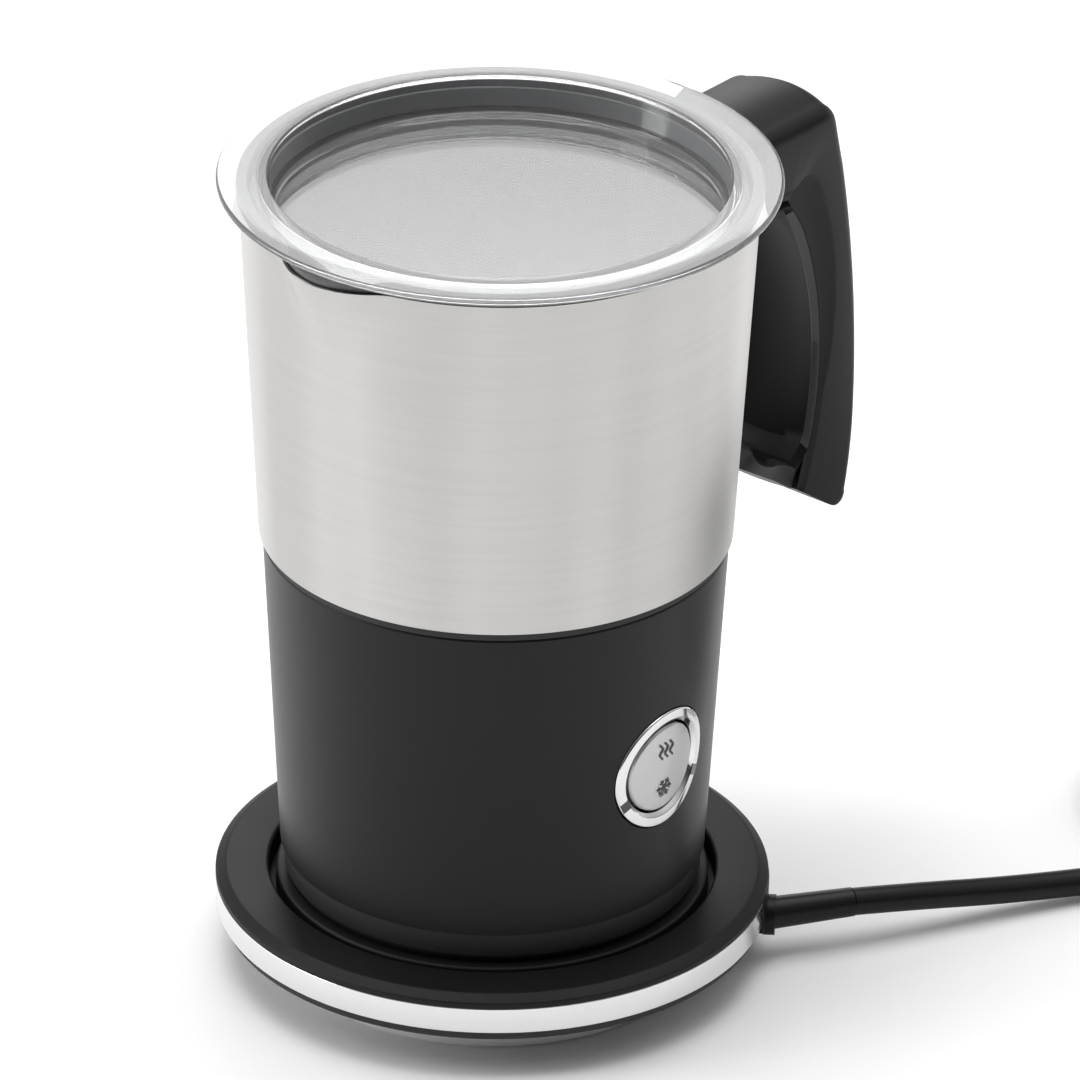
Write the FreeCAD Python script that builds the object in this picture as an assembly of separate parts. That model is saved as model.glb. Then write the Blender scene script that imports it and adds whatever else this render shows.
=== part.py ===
import FreeCAD, Part
import math
import os

# Milk frother: a jug with a heated pot and a magnetic whisk, on a round power base with a mains lead.
# Millimetres. The origin is the centre of the base's underside, on the surface it stands on.
# +Z is up, -Y is the front with the control button, +X carries the handle and -X the spout.

V = FreeCAD.Vector

# ---- driving dimensions ----
BASE_R = 62.0            # power base, outside of its metal band
FOOT_R = 48.0            # grey foot ring under the base
BAND_LOW = 11.8          # metal band, lower and upper edge
BAND_HIGH = 18.0
BASE_TOP = 20.8          # flat top of the base
WELL_R = 50.0            # groove round the seat of the jug
SEAT_R = 48.3            # raised seat inside that groove
SEAT_TOP = 20.4
BODY_LOW = 28.3          # black lower housing of the jug
BODY_HIGH = 103.9
BODY_LOW_R = 47.5
BODY_HIGH_R = 51.5
STEEL_LOW = 105.9        # brushed steel sleeve
STEEL_HIGH = 187.0
STEEL_LOW_R = 52.4
STEEL_HIGH_R = 56.8
POT_FLOOR = 98.0         # inside of the pot
POT_RIM = 189.0
POT_LOW_R = 46.7
POT_HIGH_R = 54.7
LID_R = 62.2             # clear lid
LID_TOP = 192.1
LID_THICK = 2.2
DISH_R = 50.4            # sunk middle of the lid
DISH_FLOOR = 182.4
BUTTON_Z = 62.4          # control button on the front
RING_R = 14.3
CAP_R = 10.4
CORD_R = 3.15            # three-core mains lead, 6.3 mm across
OUTLET_ANGLE = -54.5     # where the lead leaves the base
LEAD_HEADING = -33.0
COIL_R = 34.0            # stored part of the lead: middle of its turns
COIL_TURNS = 2.3
PLUG_Z = 18.2

os.makedirs("parts", exist_ok=True)


# ---- helpers ----
def save(name, *solids):
    """Write one sub-part, which may be a group of separate like solids."""
    shape = solids[0] if len(solids) == 1 else Part.makeCompound(list(solids))
    shape.exportStep("parts/" + name + ".step")


def polar(radius, degrees, z=0.0):
    """The point at this distance from the axis and this angle from +X."""
    turn = math.radians(degrees)
    return V(radius * math.cos(turn), radius * math.sin(turn), z)


def outline(points, place):
    """Closed wire through the points; a third number at a point rounds that corner."""
    spots = [place(p[0], p[1]) for p in points]
    count = len(spots)
    starts = []
    ends = []
    middles = []
    for i, p in enumerate(points):
        radius = p[2] if len(p) > 2 else 0.0
        here = spots[i]
        if radius <= 0.0:
            starts.append(here)
            ends.append(here)
            middles.append(None)
            continue
        back = (spots[i - 1] - here).normalize()
        on = (spots[(i + 1) % count] - here).normalize()
        half = back.getAngle(on) / 2.0
        reach = radius / math.tan(half)
        centre = here + (back + on).normalize() * (radius / math.sin(half))
        starts.append(here + back * reach)
        ends.append(here + on * reach)
        middles.append(centre + (here - centre).normalize() * radius)
    edges = []
    for i in range(count):
        if middles[i] is not None:
            edges.append(Part.Arc(starts[i], middles[i], ends[i]).toShape())
        following = starts[(i + 1) % count]
        if (following - ends[i]).Length > 1e-6:
            edges.append(Part.LineSegment(ends[i], following).toShape())
    return Part.Wire(edges)


def turned(points):
    """Solid of revolution about Z from an outline of (radius, height) points."""
    wire = outline(points, lambda r, z: V(r, 0, z))
    return Part.Face(wire).revolve(V(0, 0, 0), V(0, 0, 1), 360)


def ring(inner, outer, low, high):
    """Plain ring about Z."""
    return turned([(inner, low), (outer, low), (outer, high), (inner, high)])


def upright(radius, low, high, x=0.0, y=0.0):
    """Upright cylinder."""
    return Part.makeCylinder(radius, high - low, V(x, y, low), V(0, 0, 1))


def along_y(radius, y_from, y_to, x=0.0, z=BUTTON_Z):
    """Cylinder along Y."""
    return Part.makeCylinder(radius, y_to - y_from, V(x, y_from, z), V(0, 1, 0))


def block(x0, x1, y0, y1, z0, z1):
    """Box between two corners."""
    return Part.makeBox(x1 - x0, y1 - y0, z1 - z0, V(x0, y0, z0))


def fuse(*solids):
    """One solid from several that overlap."""
    return solids[0].multiFuse(list(solids[1:])).removeSplitter()


def body_radius(z):
    """Outer radius of the black housing at this height."""
    share = (z - BODY_LOW) / (BODY_HIGH - BODY_LOW)
    return BODY_LOW_R + share * (BODY_HIGH_R - BODY_LOW_R)


def steel_radius(z):
    """Outer radius of the steel sleeve at this height."""
    share = (z - STEEL_LOW) / (STEEL_HIGH - STEEL_LOW)
    return STEEL_LOW_R + share * (STEEL_HIGH_R - STEEL_LOW_R)


def pot_radius(z):
    """Inner radius of the pot's wall at this height."""
    share = (z - POT_FLOOR) / (POT_RIM - POT_FLOOR)
    return POT_LOW_R + share * (POT_HIGH_R - POT_LOW_R)


def skin(radius_at, low, high, inside, outside):
    """Conical skin between two offsets from a conical surface."""
    return turned([
        (radius_at(low) + inside, low),
        (radius_at(low) + outside, low),
        (radius_at(high) + outside, high),
        (radius_at(high) + inside, high),
    ])


# ---- power base ----
SCREW_CIRCLE = 36.0
SCREW_ANGLES = [0, 90, 180, 270]
GROMMET_R = 4.4
GROMMET_Z = 10.4
outlet_mouth = polar(52.0, OUTLET_ANGLE, GROMMET_Z)
outlet_way = polar(1.0, OUTLET_ANGLE)
outlet_bore = Part.makeCylinder(GROMMET_R + 0.2, 14.0, outlet_mouth, outlet_way)
outlet_notch = block(52.0, 66.0, -4.8, 4.8, 5.0, 20.0)
outlet_notch.rotate(V(0, 0, 0), V(0, 0, 1), OUTLET_ANGLE)
OUTLET_HALF = 7.4        # degrees each side that the outlet plate fills in the band

foot_ring = turned([
    (40.0, 0.0), (FOOT_R, 0.0, 0.8), (FOOT_R, 7.3), (45.2, 7.3), (45.2, 1.6), (40.0, 1.6),
])
save("base_foot_ring", foot_ring)

bottom_cover = turned([
    (0, 1.8), (45.0, 1.8, 0.6), (45.0, 7.5), (57.0, 7.5, 1.0), (60.9, 9.8, 0.8), (60.9, 17.8),
    (59.0, 17.8), (59.0, 10.8), (56.4, 9.5), (43.0, 9.5), (43.0, 3.8), (0, 3.8),
])
for angle in SCREW_ANGLES:
    spot = polar(SCREW_CIRCLE, angle)
    bottom_cover = bottom_cover.cut(upright(1.8, 1.0, 5.0, spot.x, spot.y))
bottom_cover = bottom_cover.cut(outlet_notch)
save("base_bottom_cover", bottom_cover)

outlet_wedge = Part.makeCylinder(
    BASE_R + 1.0, 30.0, V(0, 0, 0), V(0, 0, 1), 2 * OUTLET_HALF)
outlet_wedge.rotate(V(0, 0, 0), V(0, 0, 1), OUTLET_ANGLE - OUTLET_HALF)
chrome_band = turned([
    (61.05, BAND_LOW), (BASE_R - 0.1, BAND_LOW, 0.3), (BASE_R, BAND_HIGH, 0.3), (61.05, BAND_HIGH),
])
save("base_chrome_band", chrome_band.cut(outlet_wedge))

top_cover = turned([
    (16.3, 17.8), (43.0, 17.8), (43.0, SEAT_TOP, 0.5), (SEAT_R, SEAT_TOP, 0.5), (SEAT_R, 15.5),
    (WELL_R, 15.5), (WELL_R, BASE_TOP, 0.8), (59.9, BASE_TOP, 0.8), (BASE_R, 19.2, 0.3),
    (BASE_R, BAND_HIGH + 0.05), (58.7, BAND_HIGH + 0.05), (58.7, 13.0), (57.2, 13.0), (57.2, 18.6),
    (52.0, 18.6), (52.0, 13.3), (40.8, 13.3), (40.8, 15.6), (16.3, 15.6),
])
for angle in SCREW_ANGLES:
    spot = polar(SCREW_CIRCLE, angle)
    boss = upright(3.2, 4.0, 16.0, spot.x, spot.y)
    top_cover = top_cover.fuse(boss).cut(upright(1.5, 3.0, 13.0, spot.x, spot.y))
top_cover = top_cover.cut(outlet_bore)
save("base_top_cover", top_cover)

base_screws = []
for angle in SCREW_ANGLES:
    spot = polar(SCREW_CIRCLE, angle)
    head = upright(3.0, 0.6, 1.8, spot.x, spot.y)
    base_screws.append(head.fuse(upright(1.4, 1.8, 12.5, spot.x, spot.y)))
save("base_screws", *base_screws)

connector_post = turned([
    (0, 12.6), (19.0, 12.6), (19.0, 15.4), (16.0, 15.4), (16.0, 18.6, 0.4), (12.0, 18.6),
    (12.0, 27.4, 0.8), (3.6, 27.4, 0.5), (3.6, 15.0), (0, 15.0),
])
save("base_connector_post", connector_post)
save("base_contact_pin", turned([(0, 15.0), (2.0, 15.0), (2.0, 25.5, 0.8), (0, 25.5)]))
RING_HEIGHTS = [(20.2, 21.6), (23.8, 25.2)]
save("base_contact_rings", *[ring(12.02, 12.6, low, high) for low, high in RING_HEIGHTS])

# Three cores run inside the base from the outlet to the connector.
LEAD_R = 0.9
core_start = polar(53.4, OUTLET_ANGLE, 10.6)
leads = []
for place in (-1, 0, 1):
    side = polar(2.2 * place, OUTLET_ANGLE + 90)
    start = core_start + side
    end = polar(20.4, OUTLET_ANGLE + 16 * place, 10.6)
    leads.append(Part.makeCylinder(LEAD_R, (end - start).Length, start, end - start))
save("base_leads", *leads)

# ---- mains lead ----
wall_exit = V(36.3, -50.2, 10.4)
heading = polar(1.0, LEAD_HEADING)
boot_tip = wall_exit + heading * 20.0

plate = skin(lambda z: BASE_R, 9.9, BAND_HIGH - 0.05, -0.95, 0.15).common(outlet_wedge)
sleeve = Part.makeCylinder(GROMMET_R, 9.0, polar(53.6, OUTLET_ANGLE, GROMMET_Z), outlet_way)
collar = Part.makeCylinder(4.6, 2.6, polar(61.2, OUTLET_ANGLE, GROMMET_Z), outlet_way)
boot = Part.makeCone(3.75, 3.3, 21.5, wall_exit - heading * 1.5, heading)
save("cord_grommet", fuse(plate, sleeve, collar, boot))

# The lead's way from the tip of its boot to the stored coil.
cord_route = [
    boot_tip,
    V(65.1, -68.2, 9.3),
    V(86.9, -78.6, 5.6),
    V(111.5, -92.0, 3.5),
    V(129.9, -104.2, 3.3),
    V(144.1, -115.3, 3.3),
]


def cord_path(points):
    """Straight runs joined by tangent arcs, each as large as its two runs allow."""
    edges = []
    last = points[0]
    for i in range(1, len(points) - 1):
        here = points[i]
        back = points[i - 1] - here
        on = points[i + 1] - here
        turn = math.pi - back.getAngle(on)
        reach = 0.45 * min(back.Length, on.Length)
        radius = reach / math.tan(turn / 2.0)
        start = here + back.normalize() * reach
        end = here + on.normalize() * reach
        inward = (start + end) * 0.5 - here
        depth = radius / math.cos(turn / 2.0) - radius
        middle = here + inward.normalize() * depth
        print("lead: arc radius %.0f mm at point %d" % (radius, i))
        edges.append(Part.LineSegment(last, start).toShape())
        edges.append(Part.Arc(start, middle, end).toShape())
        last = end
    edges.append(Part.LineSegment(last, points[-1]).toShape())
    return Part.Wire(edges)


path = cord_path(cord_route)
first_run = cord_route[1] - cord_route[0]
section = Part.Wire(Part.makeCircle(CORD_R, cord_route[0], first_run))
cord_tube = path.makePipeShell([section], True, True)
print("lead: %.1f mm long, volume ratio %.4f" % (
    path.Length, cord_tube.Volume / (math.pi * CORD_R ** 2 * path.Length)))
save("cord_tube", cord_tube)

last_run = cord_route[-1] - cord_route[-2]
entry_heading = math.degrees(math.atan2(last_run.y, last_run.x))
coil_centre = cord_route[-1] - polar(COIL_R, entry_heading - 90)
coil_centre.z = 0.0
COIL_TOP = PLUG_Z + CORD_R
coil = turned([
    (COIL_R - 3.3, 0.1, 2.0), (COIL_R + 3.3, 0.1, 2.0),
    (COIL_R + 3.3, COIL_TOP, 2.0), (COIL_R - 3.3, COIL_TOP, 2.0),
])
coil.translate(coil_centre)
TIE_ANGLE = 75.0
TIE_WIDTH = 9.0
tie_outside = block(COIL_R - 4.4, COIL_R + 4.4, -TIE_WIDTH / 2, TIE_WIDTH / 2, 0.0, COIL_TOP + 1.1)
tie_inside = block(COIL_R - 3.5, COIL_R + 3.5, -TIE_WIDTH, TIE_WIDTH, 0.9, COIL_TOP + 0.2)
tie = tie_outside.cut(tie_inside)
tie.rotate(V(0, 0, 0), V(0, 0, 1), TIE_ANGLE)
tie.translate(coil_centre)
save("cord_tie", tie)
save("cord_coil", coil.cut(tie))

exit_angle = entry_heading - 90 + 360 * COIL_TURNS
tail_way = polar(1.0, exit_angle + 90)
tail_start = coil_centre + polar(COIL_R, exit_angle, PLUG_Z)
TAIL = 25.0
save("cord_tail", Part.makeCylinder(CORD_R, TAIL, tail_start, tail_way))


# ---- plug, lying on the surface beside the coil ----
def lay_plug(shape):
    """Move a shape made upright, cable end at the origin, to the end of the lead."""
    shape.rotate(V(0, 0, 0), V(0, 1, 0), 90)
    shape.rotate(V(0, 0, 0), V(0, 0, 1), exit_angle + 90)
    shape.translate(tail_start + tail_way * TAIL)
    return shape


PIN_PITCH = 19.0
PIN_R = 2.4
PIN_ROOT_R = 2.0
PLUG_R = 18.0
plug_body = turned([
    (0, 0), (3.9, 0), (5.6, 20.0), (9.5, 23.0, 2.0), (12.5, 34.0, 6.0), (PLUG_R, 42.0, 3.0),
    (PLUG_R, 50.0, 1.0), (16.9, 50.0), (16.9, 55.0, 0.8), (0, 55.0),
])
for side in (-1, 1):
    plug_body = plug_body.cut(upright(PIN_ROOT_R + 0.05, 46.9, 56.0, 0, side * PIN_PITCH / 2))
    plug_body = plug_body.cut(block(side * 16.9 - 1.9, side * 16.9 + 1.9, -3.6, 3.6, 43.0, 56.0))
save("plug_body", lay_plug(plug_body))
plug_pins = []
plug_clips = []
for side in (-1, 1):
    spot = side * PIN_PITCH / 2
    shank = upright(PIN_R, 55.05, 72.6, 0, spot).fuse(upright(PIN_ROOT_R, 47.0, 55.1, 0, spot))
    plug_pins.append(lay_plug(shank.fuse(Part.makeCone(PIN_R, 1.5, 1.4, V(0, spot, 72.6)))))
    near = side * 15.1
    far = side * 16.4
    plug_clips.append(lay_plug(block(min(near, far), max(near, far), -2.4, 2.4, 43.1, 54.0)))
save("plug_pins", *plug_pins)
save("plug_earth_clips", *plug_clips)

# ---- underside and connector of the jug ----
jug_bottom = turned([
    (17.8, 22.6), (42.0, 22.6), (42.8, 20.6), (45.3, 20.6, 0.5), (46.5, 22.4, 0.5),
    (46.5, 28.2), (44.4, 28.2), (44.4, 24.8), (17.8, 24.8),
])
JUG_SCREW_CIRCLE = 33.0
JUG_SCREW_ANGLES = [60, 180, 300]
for angle in JUG_SCREW_ANGLES:
    spot = polar(JUG_SCREW_CIRCLE, angle)
    jug_bottom = jug_bottom.cut(upright(1.7, 22.0, 25.0, spot.x, spot.y))
save("jug_bottom_cover", jug_bottom)

jug_connector = turned([
    (0, 28.5), (2.4, 28.5), (2.4, 21.2), (3.2, 21.2), (3.2, 28.5), (13.4, 28.5), (13.4, 20.9),
    (17.4, 20.9, 0.4), (17.4, 25.1), (20.0, 25.1), (20.0, 27.0), (17.4, 27.0), (17.4, 31.0, 0.8),
    (0, 31.0),
])
save("jug_connector", jug_connector)
save("jug_contact_rings", *[ring(12.95, 13.38, low, high) for low, high in RING_HEIGHTS])

# ---- black housing ----
HOUSING_WALL = 2.2
housing = turned([
    (BODY_LOW_R, BODY_LOW), (BODY_HIGH_R, BODY_HIGH, 0.6), (50.9, BODY_HIGH), (50.9, 109.0),
    (49.4, 109.0), (49.4, 99.0), (body_radius(97.0) - HOUSING_WALL, 97.0),
    (BODY_LOW_R - HOUSING_WALL, BODY_LOW),
])
front = skin(body_radius, 40.0, 85.0, -1.0, 6.0).common(along_y(RING_R + 0.25, -70.0, -20.0))
housing = housing.cut(front).cut(along_y(13.35, -70.0, -20.0))
for angle in JUG_SCREW_ANGLES:
    spot = polar(JUG_SCREW_CIRCLE, angle)
    post = upright(3.4, 24.9, 39.0, spot.x, spot.y)
    rib = block(JUG_SCREW_CIRCLE, 46.4, -1.0, 1.0, 29.5, 37.0)
    rib.rotate(V(0, 0, 0), V(0, 0, 1), angle)
    housing = housing.fuse(post).fuse(rib).cut(upright(1.4, 24.0, 37.0, spot.x, spot.y))
save("lower_housing", housing)

jug_screws = []
for angle in JUG_SCREW_ANGLES:
    spot = polar(JUG_SCREW_CIRCLE, angle)
    head = upright(3.0, 21.2, 22.55, spot.x, spot.y)
    jug_screws.append(head.fuse(upright(1.3, 22.55, 35.0, spot.x, spot.y)))
save("jug_screws", *jug_screws)
save("joint_ring", ring(50.95, 51.45, BODY_HIGH + 0.05, 107.5))

# ---- steel sleeve and pot, with the pouring spout at -X ----
SPOUT_X = -42.9          # axis of the upright cone that forms the spout
SPOUT_R = 19.1           # its radius at the pouring edge
SPOUT_EDGE = 188.0
SPOUT_FLARE = 0.32
SPOUT_LOW = 152.0
SPOUT_HIGH = 196.0


def with_spout(solid, inset):
    """Add the spout's cone, drawn in by this much."""
    low_r = SPOUT_R + SPOUT_FLARE * (SPOUT_LOW - SPOUT_EDGE) - inset
    high_r = SPOUT_R + SPOUT_FLARE * (SPOUT_HIGH - SPOUT_EDGE) - inset
    cone = Part.makeCone(low_r, high_r, SPOUT_HIGH - SPOUT_LOW, V(SPOUT_X, 0, SPOUT_LOW))
    return solid.fuse(cone)


def spout_trim():
    """Everything above the spout's pouring edge, which slopes down away from the rim."""
    slab = block(-60.0, 0.0, -40.0, 40.0, 0.0, 60.0)
    slab.rotate(V(0, 0, 0), V(0, 1, 0), -22.0)
    slab.translate(V(-56.4, 0, 188.6))
    return slab


STEEL_WALL = 0.8
steel_full = turned([
    (0, STEEL_LOW), (STEEL_LOW_R, STEEL_LOW), (STEEL_HIGH_R, STEEL_HIGH), (0, STEEL_HIGH),
])
steel_hollow = turned([
    (0, STEEL_LOW - 1), (STEEL_LOW_R - STEEL_WALL, STEEL_LOW - 1),
    (STEEL_HIGH_R - STEEL_WALL, STEEL_HIGH + 1), (0, STEEL_HIGH + 1),
])
above = block(-90, 90, -90, 90, STEEL_HIGH, 260.0)
steel = with_spout(steel_full, 0.0).cut(with_spout(steel_hollow, STEEL_WALL))
steel = steel.cut(above).cut(spout_trim())
save("steel_sleeve", steel)

POT_WALL = 0.9
pot_full = turned([
    (0, 96.3), (POT_LOW_R + POT_WALL, 96.3, 9.0), (POT_HIGH_R + POT_WALL, 187.3),
    (57.2, 187.3), (57.2, POT_RIM, 0.5), (0, POT_RIM),
])
pot_hollow = turned([
    (0, POT_FLOOR), (POT_LOW_R, POT_FLOOR, 8.0), (POT_HIGH_R, POT_RIM + 0.01),
    (POT_HIGH_R, 260.0), (0, 260.0),
])
pot_gap = STEEL_WALL + 0.25
beyond_rim = block(-90, 90, -90, 90, 187.3, POT_RIM).cut(upright(57.2, 180.0, 200.0))
pot_above = block(-90, 90, -90, 90, POT_RIM, 260.0)
pot = with_spout(pot_full, pot_gap).cut(with_spout(pot_hollow, pot_gap + POT_WALL))
pot = pot.cut(pot_above).cut(beyond_rim).cut(spout_trim())
save("inner_pot", pot)

# ---- heater under the pot ----
save("heater_plate", ring(20.0, 40.0, 92.6, 96.2))
element = Part.makeTorus(34.5, 3.0, V(0, 0, 89.5), V(0, 0, 1), -180, 180, 320)
element.rotate(V(0, 0, 0), V(0, 0, 1), 110)
save("heater_element", element)
sensor_spot = polar(25.5, 60)
save("thermal_cutout", upright(5.0, 85.5, 92.5, sensor_spot.x, sensor_spot.y))
probe_spot = polar(25.5, 0)
save("temperature_probe", upright(2.6, 84.5, 92.5, probe_spot.x, probe_spot.y))

# ---- motor and rotor ----
DECK_LOW = 76.0
DECK_HIGH = 78.2
deck = turned([(5.0, DECK_LOW), (47.2, DECK_LOW), (47.2, DECK_HIGH), (5.0, DECK_HIGH)])
for angle in (60, 180, 300):
    spot = polar(40.0, angle)
    stand = upright(2.4, DECK_HIGH - 1, 92.55, spot.x, spot.y)
    deck = deck.fuse(stand)
MOTOR_SCREW_R = 8.5
for angle in (0, 180):
    spot = polar(MOTOR_SCREW_R, angle)
    deck = deck.cut(upright(1.3, DECK_LOW - 1, DECK_HIGH + 1, spot.x, spot.y))
save("motor_deck", deck)
SHAFT_R = 1.45
motor = turned([
    (1.5, 46.0), (4.5, 46.0), (4.5, 48.0), (13.5, 48.0, 1.0), (13.5, DECK_LOW - 0.05, 0.8),
    (1.5, DECK_LOW - 0.05),
])
for angle in (0, 180):
    spot = polar(MOTOR_SCREW_R, angle)
    motor = motor.cut(upright(1.2, DECK_LOW - 5, DECK_LOW + 1, spot.x, spot.y))
save("motor_case", motor)
motor_screws = []
for angle in (0, 180):
    spot = polar(MOTOR_SCREW_R, angle)
    head = upright(2.2, DECK_HIGH, DECK_HIGH + 1.4, spot.x, spot.y)
    motor_screws.append(head.fuse(upright(1.1, DECK_LOW - 4, DECK_HIGH, spot.x, spot.y)))
save("motor_screws", *motor_screws)
save("motor_shaft", upright(SHAFT_R, 47.0, 88.6))

MAGNET_CIRCLE = 11.0
MAGNET_R = 4.6
MAGNET_ANGLES = [45, 135, 225, 315]
carrier = turned([(1.5, 82.5), (4.0, 82.5), (4.0, 85.5), (17.5, 85.5), (17.5, 95.2), (1.5, 95.2)])
carrier = carrier.cut(turned([(0, 88.7), (1.6, 88.7), (1.6, 96.0), (0, 96.0)]))
rotor_magnets = []
for angle in MAGNET_ANGLES:
    spot = polar(MAGNET_CIRCLE, angle)
    carrier = carrier.cut(upright(MAGNET_R + 0.1, 89.5, 96.0, spot.x, spot.y))
    rotor_magnets.append(upright(MAGNET_R, 89.6, 95.0, spot.x, spot.y))
save("rotor_carrier", carrier)
save("rotor_magnets", *rotor_magnets)

# ---- whisk inside the pot ----
pin = turned([(0, 98.05), (4.0, 98.05, 0.3), (4.0, 99.0), (1.5, 99.0), (1.5, 113.0, 0.7), (0, 113.0)])
save("whisk_pin", pin)
save("whisk_bush", turned([(1.58, 99.3), (2.9, 99.3), (2.9, 109.0), (1.58, 109.0)]))
hub = turned([
    (2.98, 99.5), (15.4, 99.5, 0.8), (15.4, 104.2, 0.8), (6.4, 104.2), (5.2, 115.6, 1.6),
    (0, 115.6), (0, 113.6), (2.98, 113.6),
])
whisk_magnets = []
for angle in MAGNET_ANGLES:
    spot = polar(10.6, angle)
    hub = hub.cut(upright(3.3, 101.0, 105.0, spot.x, spot.y))
    whisk_magnets.append(upright(3.2, 101.05, 104.1, spot.x, spot.y))
save("whisk_hub", hub)
save("whisk_magnets", *whisk_magnets)
WHISK_RING_R = 19.5
WHISK_Z = 103.0
frame = Part.makeTorus(WHISK_RING_R, 0.7, V(0, 0, WHISK_Z))
for angle in (0, 90, 180, 270):
    spoke = Part.makeCylinder(0.7, 4.2, polar(15.45, angle, WHISK_Z), polar(1.0, angle))
    frame = frame.fuse(spoke)
save("whisk_frame", frame)
coil_outer = Part.makeTorus(WHISK_RING_R, 2.6, V(0, 0, WHISK_Z))
coil_inner = Part.makeTorus(WHISK_RING_R, 1.8, V(0, 0, WHISK_Z))
save("whisk_coil", coil_outer.cut(coil_inner))

# ---- control button ----
front_zone = along_y(RING_R, -70.0, -20.0)
bezel_skin = skin(body_radius, 40.0, 85.0, -0.9, 0.45).common(front_zone)
bezel = bezel_skin.cut(along_y(11.0, -70.0, -20.0))
sleeve_tube = along_y(13.15, -48.2, -40.5).cut(along_y(11.9, -50.0, -40.0))
sleeve_tube = sleeve_tube.common(turned([
    (0, 40.0), (body_radius(40.0) - 0.5, 40.0), (body_radius(85.0) - 0.5, 85.0), (0, 85.0)]))
bezel = bezel.fuse(sleeve_tube)
LENS_ANGLES = [-26, 206]
LENS_SIZE = 2.6
lenses = []
lights = []
for angle in LENS_ANGLES:
    spot = polar(12.65, angle)
    lens_box = block(-1.35, 1.35, -70.0, -20.0, -LENS_SIZE / 2, LENS_SIZE / 2)
    lens_box.rotate(V(0, 0, 0), V(0, 1, 0), -angle)
    lens_box.translate(V(spot.x, 0, BUTTON_Z + spot.y))
    bezel = bezel.cut(lens_box)
    lens = skin(body_radius, 40.0, 85.0, -0.9, 0.25).common(lens_box)
    lenses.append(lens.common(front_zone))
    lights.append(along_y(1.2, -40.0, -33.7, spot.x * 0.9, BUTTON_Z + spot.y * 0.9))
PIVOT_Y = -44.6
pivot_hole = Part.makeCylinder(0.95, 40.0, V(-20.0, PIVOT_Y, BUTTON_Z), V(1, 0, 0))
save("button_bezel", bezel.cut(pivot_hole))
save("indicator_lenses", *lenses)
save("indicator_lights", *lights)
save("button_pivot_pin", Part.makeCylinder(0.88, 25.6, V(-12.8, PIVOT_Y, BUTTON_Z), V(1, 0, 0)))

cap = skin(body_radius, 40.0, 85.0, -2.0, 0.1).common(along_y(CAP_R, -70.0, -20.0))
cap = cap.fuse(along_y(8.4, -47.8, -42.9))
for lift in (-7.0, 7.0):
    cap = cap.fuse(along_y(1.3, -43.5, -38.9, 0.0, BUTTON_Z + lift))
save("button_cap", cap.cut(pivot_hole).removeSplitter())

# ---- circuit board behind the button ----
save("circuit_board", block(-17.0, 17.0, -33.6, -32.0, 40.0, 74.0))
switches = []
for lift in (-7.0, 7.0):
    z = BUTTON_Z + lift
    case = block(-3.0, 3.0, -36.9, -33.6, z - 3.0, z + 3.0)
    switches.append(case.fuse(along_y(1.5, -38.3, -36.5, 0.0, z)))
save("tact_switches", *switches)
save("board_components",
     block(-14.0, 4.0, -32.0, -20.0, 44.0, 56.0),
     along_y(4.0, -32.0, -21.0, 11.5, 50.0),
     block(6.0, 14.0, -32.0, -27.0, 58.0, 72.0))

# ---- handle ----
HANDLE_HALF = 14.5
HANDLE_TOP = 177.5


def handle_plane(x, z):
    """A point of the handle's side outline."""
    return V(x, -HANDLE_HALF, z)


def bar(start, end):
    """Straight edge of the handle's side outline."""
    return Part.LineSegment(handle_plane(*start), handle_plane(*end)).toShape()


def bow(start, through, end):
    """Arched edge of the handle's side outline."""
    return Part.Arc(handle_plane(*start), handle_plane(*through), handle_plane(*end)).toShape()


def handle_slab(edges, rounded, rounding):
    """Extrude a side outline across the handle and round the two rims of its first edges."""
    face = Part.Face(Part.Wire(edges))
    solid = face.extrude(V(0, 2 * HANDLE_HALF, 0))
    centres = [edge.CenterOfMass for edge in edges[:rounded]]
    rims = []
    for edge in solid.Edges:
        middle = edge.CenterOfMass
        middle.y = -HANDLE_HALF
        flat = edge.BoundBox.YLength < 0.01
        if flat and min((middle - centre).Length for centre in centres) < 0.01:
            rims.append(edge)
    return solid.makeFillet(rounding, rims)


# The back is one long arc; the top and the slanted underside run into it through small corners.
BACK_R = 230.3
BACK_CENTRE = (109.8 - BACK_R, 102.9)
CORNER_R = 4.0
SEAM_LOW = (88.9, 84.4)
SEAM_HIGH = (84.0, 159.0)
UNDERSIDE_TURN = math.radians(-33.5)


def corner(point, run, inward):
    """Corner arc between a straight run and the back: its ends and its middle."""
    start = (point[0] + inward[0] * CORNER_R, point[1] + inward[1] * CORNER_R)
    across = (start[0] - BACK_CENTRE[0], start[1] - BACK_CENTRE[1])
    along = across[0] * run[0] + across[1] * run[1]
    rest = across[0] ** 2 + across[1] ** 2 - (BACK_R - CORNER_R) ** 2
    travel = -along + math.sqrt(along ** 2 - rest)
    centre = (start[0] + run[0] * travel, start[1] + run[1] * travel)
    on_run = (centre[0] - inward[0] * CORNER_R, centre[1] - inward[1] * CORNER_R)
    out = (centre[0] - BACK_CENTRE[0], centre[1] - BACK_CENTRE[1])
    size = math.hypot(out[0], out[1])
    out = (out[0] / size, out[1] / size)
    on_back = (BACK_CENTRE[0] + out[0] * BACK_R, BACK_CENTRE[1] + out[1] * BACK_R)
    bisector = (out[0] - inward[0], out[1] - inward[1])
    size = math.hypot(bisector[0], bisector[1])
    middle = (centre[0] + bisector[0] / size * CORNER_R, centre[1] + bisector[1] / size * CORNER_R)
    return on_run, middle, on_back


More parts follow.
